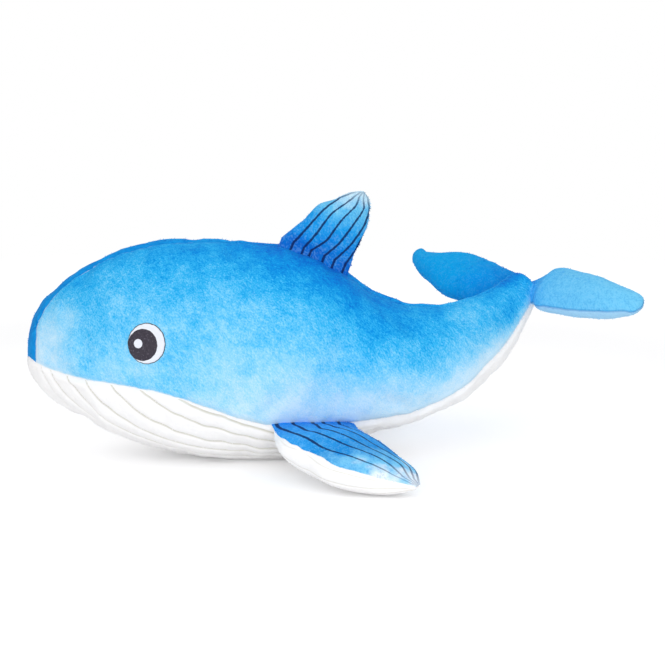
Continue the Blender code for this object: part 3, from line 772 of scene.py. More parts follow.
class Limb:
    """A flat stuffed bag of two panels, sewn round its edge and sewn onto the cover at its root.

    sweep, chord, reach and thick scale the outline, and crown is the upper face's share of the thickness.
    curl lifts the tip, and calm is how much of the cloth's unevenness shows. The root goes on into the body
    by sink, and narrows there to sunk_end. lead shifts the colour's start, and wave makes the edge seam
    waver.
    """

    def __init__(self, name, parent, joint, along, out, outline, reach, sweep, chord, thick, crown=0.5,
                 curl=0.0, calm=0.6, sink=0.014, sunk_end=None, lead=0.0, wave=0.0, edge_seam=STRAIGHT_SEAM):
        self.name, self.parent, self.place = name, parent, joint_places[joint]
        self.along = unit(np.array(along, float))
        self.out = turned(self.along, out)
        self.face = np.cross(self.out, self.along)
        upward = -self.face[1] if name == "dorsal_fin" else self.face[2]
        if upward < 0:
            self.face = -self.face
        self.outline, self.last = outline, len(outline) - 1
        self.reach, self.sweep, self.chord, self.thick, self.crown = reach, sweep, chord, thick, crown
        self.curl, self.calm, self.sink, self.lead, self.wave = curl, calm, sink, lead, wave
        self.sunk_end, self.edge_seam = sunk_end or outline[0][1:], edge_seam

    def lay(self, rows, turns):
        """Places on the limb. Rows under 0 lie inside the body. A half turn covers the upper face."""
        rows, turns = np.broadcast_arrays(np.asarray(rows, float), np.asarray(turns, float))
        values = on_curve(self.outline, np.maximum(rows, 0))
        deep = 1 - (1 - np.clip(-rows, 0, 1)) ** 2
        middle, half, thick = (
            values[..., index + 1] * (1 - deep) + end * deep for index, end in enumerate(self.sunk_end)
        )
        swell = np.sin(turns)
        crown = np.where(swell > 0, 2 * self.crown, 2 - 2 * self.crown)
        reach = values[..., 0] * self.reach + np.minimum(rows, 0) * self.sink
        lengthwise = middle * self.sweep - np.cos(turns) * self.chord * half
        height = self.thick * thick * swell * crown + self.curl * np.maximum(values[..., 0], 0) ** 2.2
        return (
            self.place + self.along * lengthwise[..., None] + self.out * reach[..., None]
            + self.face * height[..., None]
        )

    def outward(self, rows, turns):
        """Roughly outward vectors, to sort the normals by."""
        last = np.clip((rows - self.last + 0.3) / 0.3, 0, 1)[..., None]
        return (
            self.face * np.sin(turns)[..., None] - self.along * np.cos(turns)[..., None] * 0.8
            + self.out * last
        )

    def normals(self, rows, turns):
        """Unit vectors off the limb."""
        inside = np.clip(rows, -1, self.last - 0.04)
        step, turn = 0.03, 0.04
        lengthwise = self.lay(inside + step, turns) - self.lay(inside - step, turns)
        around = self.lay(inside, turns + turn) - self.lay(inside, turns - turn)
        normal = unit(np.cross(around, lengthwise))
        side = np.sign((normal * self.outward(inside, turns)).sum(-1, keepdims=True))
        normal = normal * np.where(side == 0, 1, side)
        pole = np.clip((rows - inside) / 0.04, 0, 1)[..., None]
        return unit(normal * (1 - pole) + self.out * pole)

    def rows(self, cell):
        """Row numbers about a cell apart, from inside the body to the tip."""
        fine = np.linspace(0, self.last, 1500)
        sunk = np.linspace(-1, 0, max(int(round(self.sink / cell / 1.5)), 1) + 1)[:-1]
        paths = [self.lay(fine, turn) for turn in (0.0, math.pi / 2, math.pi)]
        return np.concatenate([sunk, even_steps(fine, paths, cell)])

    def make_bag(self):
        """The limb as a bag, held at its root and lightly along its seams."""
        rows = self.rows(CLOTH_CELL)
        rows = rows[rows < self.last - 0.12]
        grid, turn = full_grid(rows, circle(LIMB_BAG_COLUMNS))
        held = 0.15 + 0 * grid
        held[:, [0, LIMB_BAG_COLUMNS // 2]] = 0.7
        held[rows < 0.3] = 1
        places, normals = self.lay(grid, turn), self.normals(grid, turn)
        self.bag = Bag(self.name + "_bag", places, normals, rows, held, 0.0008 + 0 * grid)
        return self.bag

    def soft_height(self, grid, turn, base, values, seam, away):
        """How far the cloth stands off the smooth limb. away is the distance to a rib's sewn line."""
        height = self.bag.stand_off(grid, turn / (2 * math.pi), *LIMB_PUFF)
        height -= 0.0005 * np.exp(-((seam / 0.002) ** 2))
        height += 0.0004 * uneven(base, LIMB_GATHERS) * np.exp(-seam / LIMB_PUCKERS)
        height += uneven(base, LIMB_RUMPLES)
        root = np.exp(-((np.maximum(values[..., 0] * self.reach, 0) / 0.009) ** 2))
        height += 0.0003 * noise(base * np.array([1.3, 1.3, 0.7]), 0.006, 27) * root
        if away is not None:
            crease = RIB_DENT * np.exp(-((away / (RIB_SPREAD * 1.6)) ** 1.4))
            height -= crease * (0.75 + 0.5 * noise(base, 0.02, 29)) * eased(seam, 0.0008, 0.004)
        return height

    def panel(self, name, side, ribs=0, lines=()):
        """One face of the limb as a closed sheet, with sewn ribs along its span if it has them."""
        rows = self.rows(CELL * 0.9)
        reaches = on_curve(self.outline, np.maximum(rows, 0))[:, 0]
        start = np.radians(np.interp(reaches, *zip(*self.edge_seam)))
        places = reaches[:, None] * np.array([self.reach, 0, 0]) + 0.003
        start = (start + self.wave * noise(places, 0.0048, 41) * hump(reaches, 0.5, 0.35))[:, None]
        turn = start + (math.pi * side - start) * np.linspace(0, 1, 89)
        grid = rows[:, None] + 0 * turn
        base, normal = self.lay(grid, turn), self.normals(grid, turn)
        near, far = edge_distances(base)
        seam = np.minimum(near, far)
        values = on_curve(self.outline, np.maximum(grid, 0))
        reach, half = values[..., 0], self.chord * values[..., 2]
        thin = np.clip(self.thick * np.abs(values[..., 3]) / 0.009, 0.1, 1)
        away = None
        if ribs:
            share = np.abs(turn) / math.pi * ribs + 0.22 * noise(base, 0.022, 28)
            away = np.abs(share % 1 - 0.5) * math.pi / ribs * np.abs(half) * 0.8
        height = self.soft_height(grid, turn, base, values, seam, away) * thin * self.calm
        outer = base + normal * height[..., None]
        outer[..., 2] = np.maximum(outer[..., 2], 0.0003)
        count, gap = self.between_lines(reach, half * -np.cos(turn), lines)
        return fabric(name, [(outer, normal, {
            "seam": seam, "reach": reach + self.lead * (1 + np.minimum(grid, 0)), "face": side + 0 * grid,
            "near": near, "line": count, "gap": gap, "rib": 1 + 0 * grid if away is None else away,
            # sewn is how strongly the painted shade in the rib grooves shows
            "sewn": 0.55 * eased(seam, 0.001, 0.004),
            "depth": (FABRIC + 0.0006 * np.exp(-seam / FABRIC)) * thin,
        })])

    def between_lines(self, reach, across, lines):
        """Which printed lines each place lies between, as a count with its fraction, and their gap."""
        if not len(lines):
            return -1 + 0 * reach, 0.01 + 0 * reach
        steps = np.interp(reach, LINE_REACHES, np.arange(len(LINE_REACHES)))
        places = on_curve(np.array(lines).T / 1000, steps)
        places = np.concatenate([places[..., :1] - 0.01, places, places[..., -1:] + 0.01], -1)
        low = np.clip((across[..., None] >= places).sum(-1) - 1, 0, len(lines))
        first = np.take_along_axis(places, low[..., None], -1)[..., 0]
        gap = np.take_along_axis(places, low[..., None] + 1, -1)[..., 0] - first
        return low - 1 + np.clip((across - first) / gap, -1, 2), gap

    def stuffing(self, name, inset):
        """The filling inside the two panels."""
        rows = self.rows(CELL * 3)
        grid, turn = full_grid(rows[rows < self.last - 0.25], circle(32))
        edges = self.lay(grid[:, 0], 0.0) / 2 + self.lay(grid[:, 0], math.pi) / 2
        middle, base = edges[:, None], self.lay(grid, turn)
        size = np.linalg.norm(base - middle, axis=-1, keepdims=True)
        points = base + (middle - base) * np.minimum(inset / np.maximum(size, 1e-6), 0.8)
        points -= self.face * ((points - middle) @ self.face * 0.35)[..., None]
        return closed_rings(name, points)


def limbs():
    """The side fins, the flukes and the dorsal fin, at their joints."""
    made = []
    for side, word, drop in ((-1, "left", 10.6), (1, "right", 1.6)):
        drop = math.radians(drop)
        made.append(Limb(
            word + "_fin", "body", word + "_fin_flap", (0.96124, -side * 0.26544, -0.07462),
            (0, side * math.cos(drop), -math.sin(drop)), FIN_OUTLINE, 0.0899, 0.0555, 0.0570, 0.0300,
            crown=0.45, wave=0.08, edge_seam=FIN_SEAM,
        ))
        near = word == "left"
        made.append(Limb(
            word + "_fluke", "tail", word + "_fluke_flap", (0.54409, 0.6356, 0.54771),
            np.array([-0.7597, 0.6503, 0]) * side, LEFT_FLUKE_OUTLINE if near else RIGHT_FLUKE_OUTLINE,
            0.0895 if near else 0.0935, 0.0540, 0.0540, 0.0255, curl=0.0 if near else 0.009,
            calm=0.4 if near else 0.6, sink=0.020, sunk_end=FLUKE_SUNK_END, lead=0.1,
            wave=0.03 if near else 0.0, edge_seam=FLUKE_SEAM if near else STRAIGHT_SEAM,
        ))
    made.append(Limb(
        "dorsal_fin", "body", "dorsal_fin_lean", (0.92636, -0.00375, -0.37662), (0.37662, 0, 0.92636),
        DORSAL_OUTLINE, 0.0534, 0.0527, 0.0527, 0.0200,
    ))
    return made


# Materials

class Wire:
    """A value in a tree of nodes that takes plain arithmetic."""

    def __init__(self, nodes, socket):
        self.nodes, self.socket = nodes, socket

    def __add__(self, other):
        return self.nodes.maths("ADD", self, other)

    def __sub__(self, other):
        return self.nodes.maths("SUBTRACT", self, other)

    def __rsub__(self, other):
        return self.nodes.maths("SUBTRACT", other, self)

    def __mul__(self, other):
        return self.nodes.maths("MULTIPLY", self, other)

    def __truediv__(self, other):
        return self.nodes.maths("DIVIDE", self, other)

    __radd__ = __add__
    __rmul__ = __mul__


class Nodes:
    """A tree of nodes, which is empty at first."""

    def __init__(self, tree):
        self.tree = tree
        tree.nodes.clear()

    def node(self, kind, settings=None, inputs=None):
        """A node with its settings first and then its inputs, by name or by number."""
        node = self.tree.nodes.new(kind)
        for key, value in (settings or {}).items():
            setattr(node, key, value)
        for key, value in (inputs or {}).items():
            if isinstance(value, Wire):
                self.tree.links.new(value.socket, node.inputs[key])
            else:
                node.inputs[key].default_value = value
        return node

    def wire(self, kind, settings=None, inputs=None, output=0):
        """One output of such a node."""
        return Wire(self, self.node(kind, settings, inputs).outputs[output])

    def maths(self, operation, *inputs, clamped=False):
        """One step of arithmetic."""
        settings = {"operation": operation, "use_clamp": clamped}
        return self.wire("ShaderNodeMath", settings, dict(enumerate(inputs)))


class Sheet(Nodes):
    """The nodes of one material."""

    def __init__(self, name):
        self.material = bpy.data.materials.new(name)
        self.material.use_nodes = True
        super().__init__(self.material.node_tree)

    def value(self, name):
        """A named value of the piece's points."""
        return self.wire("ShaderNodeAttribute", {"attribute_name": name}, output="Fac")

    def noise(self, size, detail=2.0, stretch=(1, 1, 1), lean=0.0):
        """Soft noise from 0 to 1 on the piece at rest, whose bumps are about this size in metres.

        It is stretched for streaks, which lean back by an angle.
        """
        rest = self.wire("ShaderNodeAttribute", {"attribute_name": "rest"}, output="Vector")
        inputs = {"Vector": rest, "Rotation": (0, lean, 0), "Scale": stretch}
        place = self.wire("ShaderNodeMapping", {"vector_type": "TEXTURE"}, inputs)
        inputs = {"Vector": place, "Scale": 0.5 / size, "Detail": detail}
        return self.wire("ShaderNodeTexNoise", {}, inputs, "Fac")

    def smooth(self, value, low, high, start=0.0, end=1.0):
        """A smooth passage from start at low to end at high."""
        inputs = {"Value": value, 1: low, 2: high, 3: start, 4: end}
        return self.wire("ShaderNodeMapRange", {"interpolation_type": "SMOOTHSTEP"}, inputs)

    def mix(self, share, first, second):
        """A colour between two colours."""
        return self.wire("ShaderNodeMix", {"data_type": "RGBA"}, {0: share, 6: first, 7: second}, 2)

    def ramp(self, value, stops):
        """A colour from a list of places from 0 to 1 and their colours."""
        node = self.node("ShaderNodeValToRGB", {}, {0: value})
        elements = node.color_ramp.elements
        while len(elements) < len(stops):
            elements.new(1)
        for element, (at, _) in zip(elements, stops):
            element.position = at
        for element, (_, colour) in zip(elements, stops):
            element.color = colour
        return Wire(self, node.outputs[0])

    def finished(self, inputs):
        """The material, with these inputs on its shader."""
        shader = self.wire("ShaderNodeBsdfPrincipled", {}, inputs)
        self.node("ShaderNodeOutputMaterial", {}, {"Surface": shader})
        return self.material

    def surface(self, colour, roughness, height, depth, strength, sheen=0.0, tint=(1, 1, 1, 1)):
        """Finishes a fabric. height drives its bumps, which are depth high at full strength."""
        bump = {"Strength": strength, "Distance": depth, "Height": height}
        return self.finished({
            "Base Color": colour, "Roughness": roughness, "Specular IOR Level": 0.1,
            "Sheen Weight": sheen, "Sheen Roughness": 0.45, "Sheen Tint": tint,
            "Normal": self.wire("ShaderNodeBump", {}, bump),
        })


def paint(red, green, blue):
    """A colour from its three parts from 0 to 255, as light."""
    parts = [part / 255 for part in (red, green, blue)]
    return tuple(p / 12.92 if p <= 0.04045 else ((p + 0.055) / 1.055) ** 2.4 for p in parts) + (1.0,)


NAVY = paint(15, 35, 90)
BLUE_SHEEN = paint(150, 210, 255)
SEAM_HIGHLIGHT = paint(218, 238, 253)
WHITE_PILE = paint(247, 247, 248)
BLUE_PRINT = [
    (0.00, (205, 235, 254)),
    (0.20, (160, 220, 252)),
    (0.40, (110, 203, 249)),
    (0.60, (50, 181, 242)),
    (0.80, (8, 153, 230)),
    (1.00, (0, 124, 218)),
    (1.15, (2, 98, 202)),
]
DEEPEST = 1.15


def nap(sheet):
    """The height of short brushed pile."""
    fine = sheet.noise(0.0006, 3, (1, 1, 1.6), -0.6)
    coarse = sheet.noise(0.0020, 2, (1.3, 1, 1))
    return fine * 0.6 + coarse * 0.4


def body_blue(name):
    """The printed blue of the body, pale low down and deep along the back and the tail, with a painted
    highlight beside the gusset's seam.
    """
    sheet = Sheet(name)
    grain = sheet.noise(0.00045, 2, (1, 1, 1.8), -0.6) - 0.5
    streaks = sheet.noise(0.0016, 3, (1, 1, 2.4), -0.7) - 0.5
    blots = sheet.noise(0.006, 3) - 0.5
    low = sheet.smooth(sheet.value("deep"), 0.1, 0.5, 0.5, 1)
    deep = sheet.value("deep") + (grain * 0.74 + streaks * 0.40) * low + blots * 0.14
    deep = deep + sheet.value("tone") * 0.10
    stops = [(at / DEEPEST, paint(*colour)) for at, colour in BLUE_PRINT]
    colour = sheet.ramp(deep / DEEPEST, stops)
    edge = sheet.noise(0.0014, 2)
    white = sheet.smooth(sheet.value("low") + edge * 0.0016, 0.0006, 0.0021, 0.75, 0.0)
    colour = sheet.mix(white, colour, WHITE_PILE)
    # Painted highlight: pale dashes a few millimetres beside the seam to the gusset, where light catches the
    # panel's edge.
    dashes = sheet.smooth(sheet.noise(0.0016, 1), 0.35, 0.6, 0.35, 1)
    pale = sheet.smooth(sheet.value("high") + edge * 0.0030, 0.0030, 0.0060, 1.0, 0.0)
    colour = sheet.mix(pale * dashes, colour, SEAM_HIGHLIGHT)
    return sheet.surface(colour, 0.85, nap(sheet), 0.0006, 0.6, 0.03, BLUE_SHEEN)


def gusset_blue(name):
    """The plain deep blue of the strip over the head, with a painted highlight along its seams."""
    sheet = Sheet(name)
    share = sheet.noise(0.0012, 3) * 0.5 + sheet.noise(0.008, 2) * 0.5
    colour = sheet.ramp(share, [(0.3, paint(0, 124, 208)), (0.7, paint(22, 162, 236))])
    edge = sheet.noise(0.0014, 2)
    # Painted highlight: paler blue along the gusset's seams.
    white = sheet.smooth(sheet.value("seam") + edge * 0.0016, 0.0006, 0.0018, 0.35, 0.0)
    colour = sheet.mix(white, colour, paint(170, 215, 250))
    return sheet.surface(colour, 0.85, nap(sheet), 0.0006, 0.6, 0.06, BLUE_SHEEN)


def white_pile(name):
    """The white of the belly, with painted shade in the grooves of its sewn ribs."""
    sheet = Sheet(name)
    colour = sheet.mix(sheet.noise(0.002, 2), paint(248, 247, 248), paint(254, 253, 252))
    # Painted shade: the grooves of the sewn ribs are darkened to a warm grey, except right at the panel's
    # seams.
    inside = sheet.smooth(sheet.value("seam"), 0.0, 0.001, 0.003, 0)
    groove_shade = sheet.smooth(sheet.value("rib") + inside, 0.0002, 0.0015, 0.8, 0.0)
    colour = sheet.mix(groove_shade * sheet.smooth(sheet.value("sewn"), 0, 1), colour, paint(212, 209, 196))
    return sheet.surface(colour, 0.9, nap(sheet), 0.0007, 0.5, 0.2)


def fin_blue(name, stops, lines=0, wide=0.0, under=0.0, blur=0.5, speck=0.26):
    """The printed blue of a fin, with this many navy lines of about this half width.

    The under face is paler by the share called under, and its edge seam then gets a painted shade; blur
    softens the passage between two tones, and speck is how strongly the tips of the pile show.
    """
    sheet = Sheet(name)
    reach = sheet.value("reach")
    share = reach + (sheet.noise(0.006, 2) - 0.5) * blur + sheet.value("tone") * 0.05
    colour = sheet.ramp(share, [(at, paint(*tone)) for at, tone in stops])
    grain = sheet.noise(0.00055, 2, (1, 1, 1.6), -0.5)
    streaks = sheet.noise(0.0018, 3, (1, 1, 2.0), -0.5)
    tipped = grain * 0.6 + streaks * 0.4
    colour = sheet.mix(sheet.smooth(tipped, 0.46, 0.64, 0.0, speck), colour, paint(150, 215, 252))
    colour = sheet.mix(sheet.smooth(tipped, 0.36, 0.52, speck, 0.0), colour, paint(0, 125, 215))
    if under:
        below = sheet.smooth(sheet.value("face"), -0.5, 0.5, under, 0.0)
        colour = sheet.mix(below, colour, paint(190, 222, 244))
        # Painted shade: darker blue along the edge seam, where shade would lie in its crease.
        seam_shade = sheet.smooth(sheet.value("seam"), 0.0004, 0.0014, 0.45, 0.0)
        colour = sheet.mix(seam_shade, colour, paint(40, 130, 205))
    if lines:
        count = sheet.value("line")
        nearest = sheet.maths("MAXIMUM", sheet.maths("ROUND", count), 0)
        nearest = sheet.maths("MINIMUM", nearest, lines - 1)
        away = sheet.maths("ABSOLUTE", count - nearest) * sheet.value("gap")
        away = away + (sheet.noise(0.0011, 2) - 0.5) * 0.0010
        width = sheet.smooth(reach, 0.0, 0.9, wide, wide * 0.7)
        ink = sheet.smooth(away / width, 0.55, 1.15, 1.0, 0.0)
        fade = sheet.smooth(reach, 0.75, 1.0, 0.92, 0.35)
        ends = sheet.smooth(sheet.value("near"), 0.0008, 0.0020)
        colour = sheet.mix(ink * fade * ends, colour, NAVY)
    return sheet.surface(colour, 0.85, nap(sheet), 0.0006, 0.6, 0.23 * speck, BLUE_SHEEN)


def stuffing_white(name):
    """Loose white fibre."""
    sheet = Sheet(name)
    colour = sheet.mix(sheet.noise(0.003, 3), paint(228, 228, 226), paint(246, 246, 245))
    return sheet.surface(colour, 0.95, sheet.noise(0.002, 3), 0.001, 0.6)


def thread(name, dark, pale):
    """Satin stitches side by side."""
    sheet = Sheet(name)
    rows = sheet.noise(0.0004, 2, (1, 1, 4))
    specks = sheet.smooth(sheet.noise(0.0006, 2), 0.55, 0.72)
    colour = sheet.mix(rows * 0.4 + specks * 0.6, dark, pale)
    return sheet.surface(colour, 0.5, rows, 0.0004, 0.5, 0.1)


# Tufts of pile that stand up from the cover, most of them along the seams

# Tufts to a square metre, the seams' width and the tufts' sizes in metres, and the clear strip at the floor
TUFT_SIZES = {
    "Tufts": 60000.0,
    "Seam Tufts": 250000.0,
    "Seam Width": 0.0012,
    "Length": 0.0012,
    "Width": 0.00024,
    "Lift": 0.45,
    "Floor Gap": 0.004,
    "Seed": 7,
}
FIRST_SEED = 11


def tuft_tree(material):
    """Scatters small leaning blades over the outer side of a sheet of fabric."""
    tree = bpy.data.node_groups.new("pile_tufts", "GeometryNodeTree")
    tree.interface.new_socket("Geometry", in_out="INPUT", socket_type="NodeSocketGeometry")
    for size, value in TUFT_SIZES.items():
        kind = "NodeSocketInt" if isinstance(value, int) else "NodeSocketFloat"
        tree.interface.new_socket(size, in_out="INPUT", socket_type=kind).default_value = value
    tree.interface.new_socket("Geometry", in_out="OUTPUT", socket_type="NodeSocketGeometry")
    nodes = Nodes(tree)
    start = nodes.node("NodeGroupInput")
    get = {size: Wire(nodes, start.outputs[size]) for size in ("Geometry", *TUFT_SIZES)}

    def value(name):
        return nodes.wire("GeometryNodeInputNamedAttribute", {"data_type": "FLOAT"}, {"Name": name})

    def random(low, high, seed):
        inputs = {2: low, 3: high, "Seed": seed}
        return nodes.wire("FunctionNodeRandomValue", {"data_type": "FLOAT"}, inputs, 1)

    near = nodes.maths("LESS_THAN", value("seam") / get["Seam Width"], 1.0)
    height = nodes.wire("ShaderNodeSeparateXYZ", {}, {0: nodes.wire("GeometryNodeInputPosition")}, "Z")
    outside = nodes.maths("GREATER_THAN", value("outer"), 0.99)
    clear = nodes.maths("GREATER_THAN", height, get["Floor Gap"])
    found = nodes.node("GeometryNodeDistributePointsOnFaces", {}, {
        "Mesh": get["Geometry"], "Density": (get["Tufts"] + near * get["Seam Tufts"]) * outside * clear,
        "Seed": get["Seed"],
    })
    stored = nodes.wire("GeometryNodeStoreNamedAttribute", {"data_type": "FLOAT", "domain": "POINT"}, {
        "Geometry": Wire(nodes, found.outputs["Points"]), "Name": "tone", "Value": random(-1.0, 1.0, 3),
    })
    lean = nodes.wire("ShaderNodeCombineXYZ", {}, {
        0: random(-0.1, 1.1, 4), 1: random(-0.5, 0.5, 5), 2: random(-0.9, 0.3, 6),
    })
    lifted = nodes.wire("ShaderNodeVectorMath", {"operation": "SCALE"}, {
        0: Wire(nodes, found.outputs["Normal"]), "Scale": get["Lift"],
    })
    way = nodes.wire("ShaderNodeVectorMath", {"operation": "ADD"}, {0: lifted, 1: lean})
    blade = nodes.wire("GeometryNodeMeshCone", {"fill_type": "NONE"}, {
        "Vertices": 3, "Side Segments": 1, "Radius Top": 0.00001, "Radius Bottom": get["Width"],
        "Depth": get["Length"],
    }, "Mesh")
    placed = nodes.wire("GeometryNodeInstanceOnPoints", {}, {
        "Points": stored, "Instance": blade, "Scale": random(0.6, 1.25, 8),
        "Rotation": nodes.wire("FunctionNodeAlignRotationToVector", {"axis": "Z"}, {"Vector": way}),
    })
    real = nodes.wire("GeometryNodeRealizeInstances", {}, {"Geometry": placed})
    painted = nodes.wire("GeometryNodeSetMaterial", {}, {"Geometry": real, "Material": material})
    nodes.node("NodeGroupOutput", {}, {"Geometry": painted})
    return tree


def tufts_on(piece, tree, seed):
    """The tufts of one piece as a plain mesh."""
    name = piece.name + "_tufts"
    helper = new_object(name + "_helper", piece.data)
    modifier = helper.modifiers.new("tufts", "NODES")
    modifier.node_group = tree
    for item in tree.interface.items_tree:
        if item.in_out == "INPUT" and item.name == "Seed":
            modifier[item.identifier] = seed
    found = helper.evaluated_get(bpy.context.evaluated_depsgraph_get())
    mesh = bpy.data.meshes.new_from_object(found)
    helper.modifiers.remove(modifier)
    bpy.data.objects.remove(helper)
    mesh.name = name
    return new_object(name, mesh)


# Embroidered eyes

EYE_ALONG = 0.25
EYE_RISE = 0.131
EYE_DIAMETER = 0.0293
EYE_NARROW = 0.945
EYE_EDGE = 0.00045
PUPIL_DIAMETER = 0.0233
PUPIL_FORWARD = 0.0026
PUPIL_DROP = 0.0009
GLINT_DIAMETER = 0.0068
GLINT_FORWARD = 0.0032
EYE_SINK = 0.0007
EYE_RINGS = (0, 0.25, 0.5, 0.7, 0.84, 0.92, 0.96, 0.985, 1)
EYE_POINTS = 72


def eye_patch(name, skin, side, forward, drop, radius, height):
    """A round patch of satin stitches, laid on the cover and rounded at its edge."""
    centre = Vector((BODY_LENGTH * EYE_ALONG - REST_X, side * 0.13, SPINE_HEIGHT + BODY_HEIGHT * EYE_RISE))
    inward = Vector((0, -side, 0))
    normals = [skin.ray_cast(centre + Vector((x, 0, z)), inward)[1]
               for x in (-0.012, 0, 0.012) for z in (-0.012, 0, 0.012)]
    normal = np.array(sum(normals, Vector()).normalized())
    level = turned(normal, (1, 0, 0))
    upward = np.cross(normal, level)
    upward = turned(normal, upward * np.sign(upward[2]))
    middle = np.array(skin.ray_cast(centre, inward)[0]) - level * forward - upward * drop
    phase = radius * 1000
    points, backs = [], []
    for share in EYE_RINGS:
        rise = height * (1 - share ** 26) ** 0.5 if share < 1 else -0.0004
        for angle in circle(EYE_POINTS if share else 1):
            wobble = 1 + share * 0.012 * math.sin(angle * 17 + phase) * math.sin(angle * 5 + phase)
            way = level * math.cos(angle) * EYE_NARROW + upward * math.sin(angle)
            start = middle + way * radius * share * wobble + normal * 0.02
            hit = np.array(skin.ray_cast(Vector(start), Vector(-normal))[0])
            points.append(hit + normal * rise)
            backs.append(hit - normal * EYE_SINK)
    total = len(points)
    ring = 1 + np.arange(total - 1).reshape(-1, EYE_POINTS)
    after = np.roll(ring, -1, axis=1)
    faces = [[0, here, following] for here, following in zip(ring[0].tolist(), after[0].tolist())]
    faces += np.stack([ring[:-1], ring[1:], after[1:], after[:-1]], -1).reshape(-1, 4).tolist()
    faces += [[corner + total for corner in reversed(face)] for face in faces]
    faces += [[here, here + total, following + total, following]
              for here, following in zip(ring[-1].tolist(), after[-1].tolist())]
    return face_outwards(mesh_object(name, points + backs, faces))


def outer_skin(obj):
    """The outer faces of a sheet, for laying things on it."""
    mesh = obj.data
    count = len(mesh.vertices) // 2
    points = [tuple(vertex.co) for vertex in mesh.vertices[:count]]
    faces = [tuple(face.vertices) for face in mesh.polygons if max(face.vertices) < count]
    return BVHTree.FromPolygons(points, faces)


# The whale

SIDES = ((-1, "left"), (1, "right"))
BODY_BEND = 0.026
ROOT_BEND = (0.004, 0.008)
ROOT_DENTS = {"body": 0.0016, "tail": 0.0010}
ROOT_SPREAD = 0.006
BODY_FILL_INSET = 0.0065
LIMB_FILL_INSET = 0.0045
FIN_RIBS = 4

parts = limbs()
nearest = np.linspace(10, 18, 400)
bend_row = nearest[np.argmin(np.linalg.norm(spine(nearest) - joint_places["tail_bend"], axis=1))]

body_cloth = body_bag()
settle_all([body_cloth] + [limb.make_bag() for limb in parts])

roots = []
for limb in parts:
    first, last = limb.lay(0.0, 0.0), limb.lay(0.0, math.pi)
    half = float(np.linalg.norm(first - last)) / 2
    roots.append(Root(first / 2 + last / 2, limb.along, half, ROOT_DENTS[limb.parent], ROOT_SPREAD))

blue, deep_blue, white = body_blue("body_blue"), gusset_blue("gusset_blue"), white_pile("white_pile")
dorsal_print = fin_blue("dorsal_print", [
    (0.0, (4, 108, 208)),
    (0.2, (6, 142, 230)),
    (0.45, (32, 165, 238)),
    (0.7, (102, 197, 243)),
    (0.97, (205, 236, 252)),
], len(DORSAL_LINES), 0.0011)
fin_print = fin_blue("fin_print", [
    (0.0, (40, 146, 238)),
    (0.3, (55, 165, 243)),
    (0.6, (30, 144, 222)),
    (0.82, (118, 200, 243)),
    (0.97, (236, 246, 254)),
], len(FIN_LINES), 0.0015)
far_fluke = fin_blue("far_fluke_blue", [
    (0.0, (2, 128, 215)),
    (0.25, (0, 148, 226)),
    (0.6, (0, 164, 232)),
    (1.0, (0, 162, 230)),
], blur=0.4, speck=0.08)
near_fluke = fin_blue("near_fluke_blue", [
    (0.0, (10, 122, 218)),
    (0.05, (26, 138, 226)),
    (0.09, (66, 172, 238)),
    (0.16, (86, 188, 243)),
    (0.3, (103, 198, 246)),
    (1.0, (114, 205, 248)),
], under=0.6, blur=0.04)
fibre = stuffing_white("fibre")
black_thread = thread("black_thread", paint(50, 45, 54), paint(98, 94, 106))
white_thread = thread("white_thread", paint(232, 236, 246), paint(244, 246, 252))


def bend_between(first, second, place, way, before, after):
    """Two bodies, and the start and the end of the stretch where a skin bends between them."""
    return first, second, tuple(place - way * before), tuple(place + way * after)


def move_with(obj, bend):
    """Lets a piece ride on the body of this name. A piece over the bend between two bodies is left in place,
    at rest.
    """
    if isinstance(bend, str):
        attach(obj, bend)
    else:
        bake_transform(obj)


def dress(obj, material, nodes, bend):
    """Gives a piece its material, hides the solids it stands for and sets what it moves with."""
    obj.data.materials.clear()
    obj.data.materials.append(material)
    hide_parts(*nodes)
    move_with(obj, bend)


pieces, covers = [], []


def add_cover(obj, material, place, nodes, bend):
    """Dresses a fabric panel and lists it, for its pile."""
    dress(obj, material, nodes, bend)
    pieces.append(obj)
    covers.append((obj, place, bend))
    return obj


tail_bend = bend_between(
    "body", "tail", joint_places["tail_bend"], spine_axes(bend_row)[0], BODY_BEND, BODY_BEND,
)
sides = {}
for side, word in SIDES:
    panel = side_panel(word + "_side", side, body_cloth, roots)
    sides[word] = panel
    add_cover(panel, blue, "plush_blue", [word + "_side_panel", word + "_tail_panel"], tail_bend)
belly = belly_panel(body_cloth, roots)
add_cover(belly, white, "plush_white", ["belly_panel", "tail_belly_panel"], tail_bend)
add_cover(gusset_panel(body_cloth, roots), deep_blue, "plush_deep_blue", ["head_gusset"], "body")

grid, turn = full_grid(even_rows(0.7, LAST_ROW - 0.7, 0.006), circle(40))
stuffing = closed_rings("stuffing", on_body(grid, turn) - off_body(grid, turn) * BODY_FILL_INSET)
dress(stuffing, fibre, ["body_filling", "tail_filling"], tail_bend)

for limb in parts:
    if limb.name == "dorsal_fin":
        lines = DORSAL_LINES
        faces = [("left_panel", dorsal_print, "fin_blue", 0), ("right_panel", dorsal_print, "fin_blue", 0)]
    elif limb.name.endswith("fluke"):
        lines = ()
        tone = near_fluke if limb.name.startswith("left") else far_fluke
        faces = [("top_panel", tone, "plush_blue", 0), ("under_panel", tone, "plush_blue", 0)]
    else:
        lines = FIN_LINES
        faces = [("top_panel", fin_print, "fin_blue", 0), ("under_panel", white, "plush_white", FIN_RIBS)]
    bend = bend_between(limb.parent, limb.name, limb.place, limb.out, *ROOT_BEND)
    for side, (word, material, place, ribs) in zip((1, -1), faces):
        node = limb.name + "_" + word
        add_cover(limb.panel(node + "_cloth", side, ribs, lines), material, place, [node], bend)
    inside = limb.stuffing(limb.name + "_stuffing", LIMB_FILL_INSET)
    dress(inside, fibre, [limb.name + "_filling"], bend)
    pieces.append(inside)
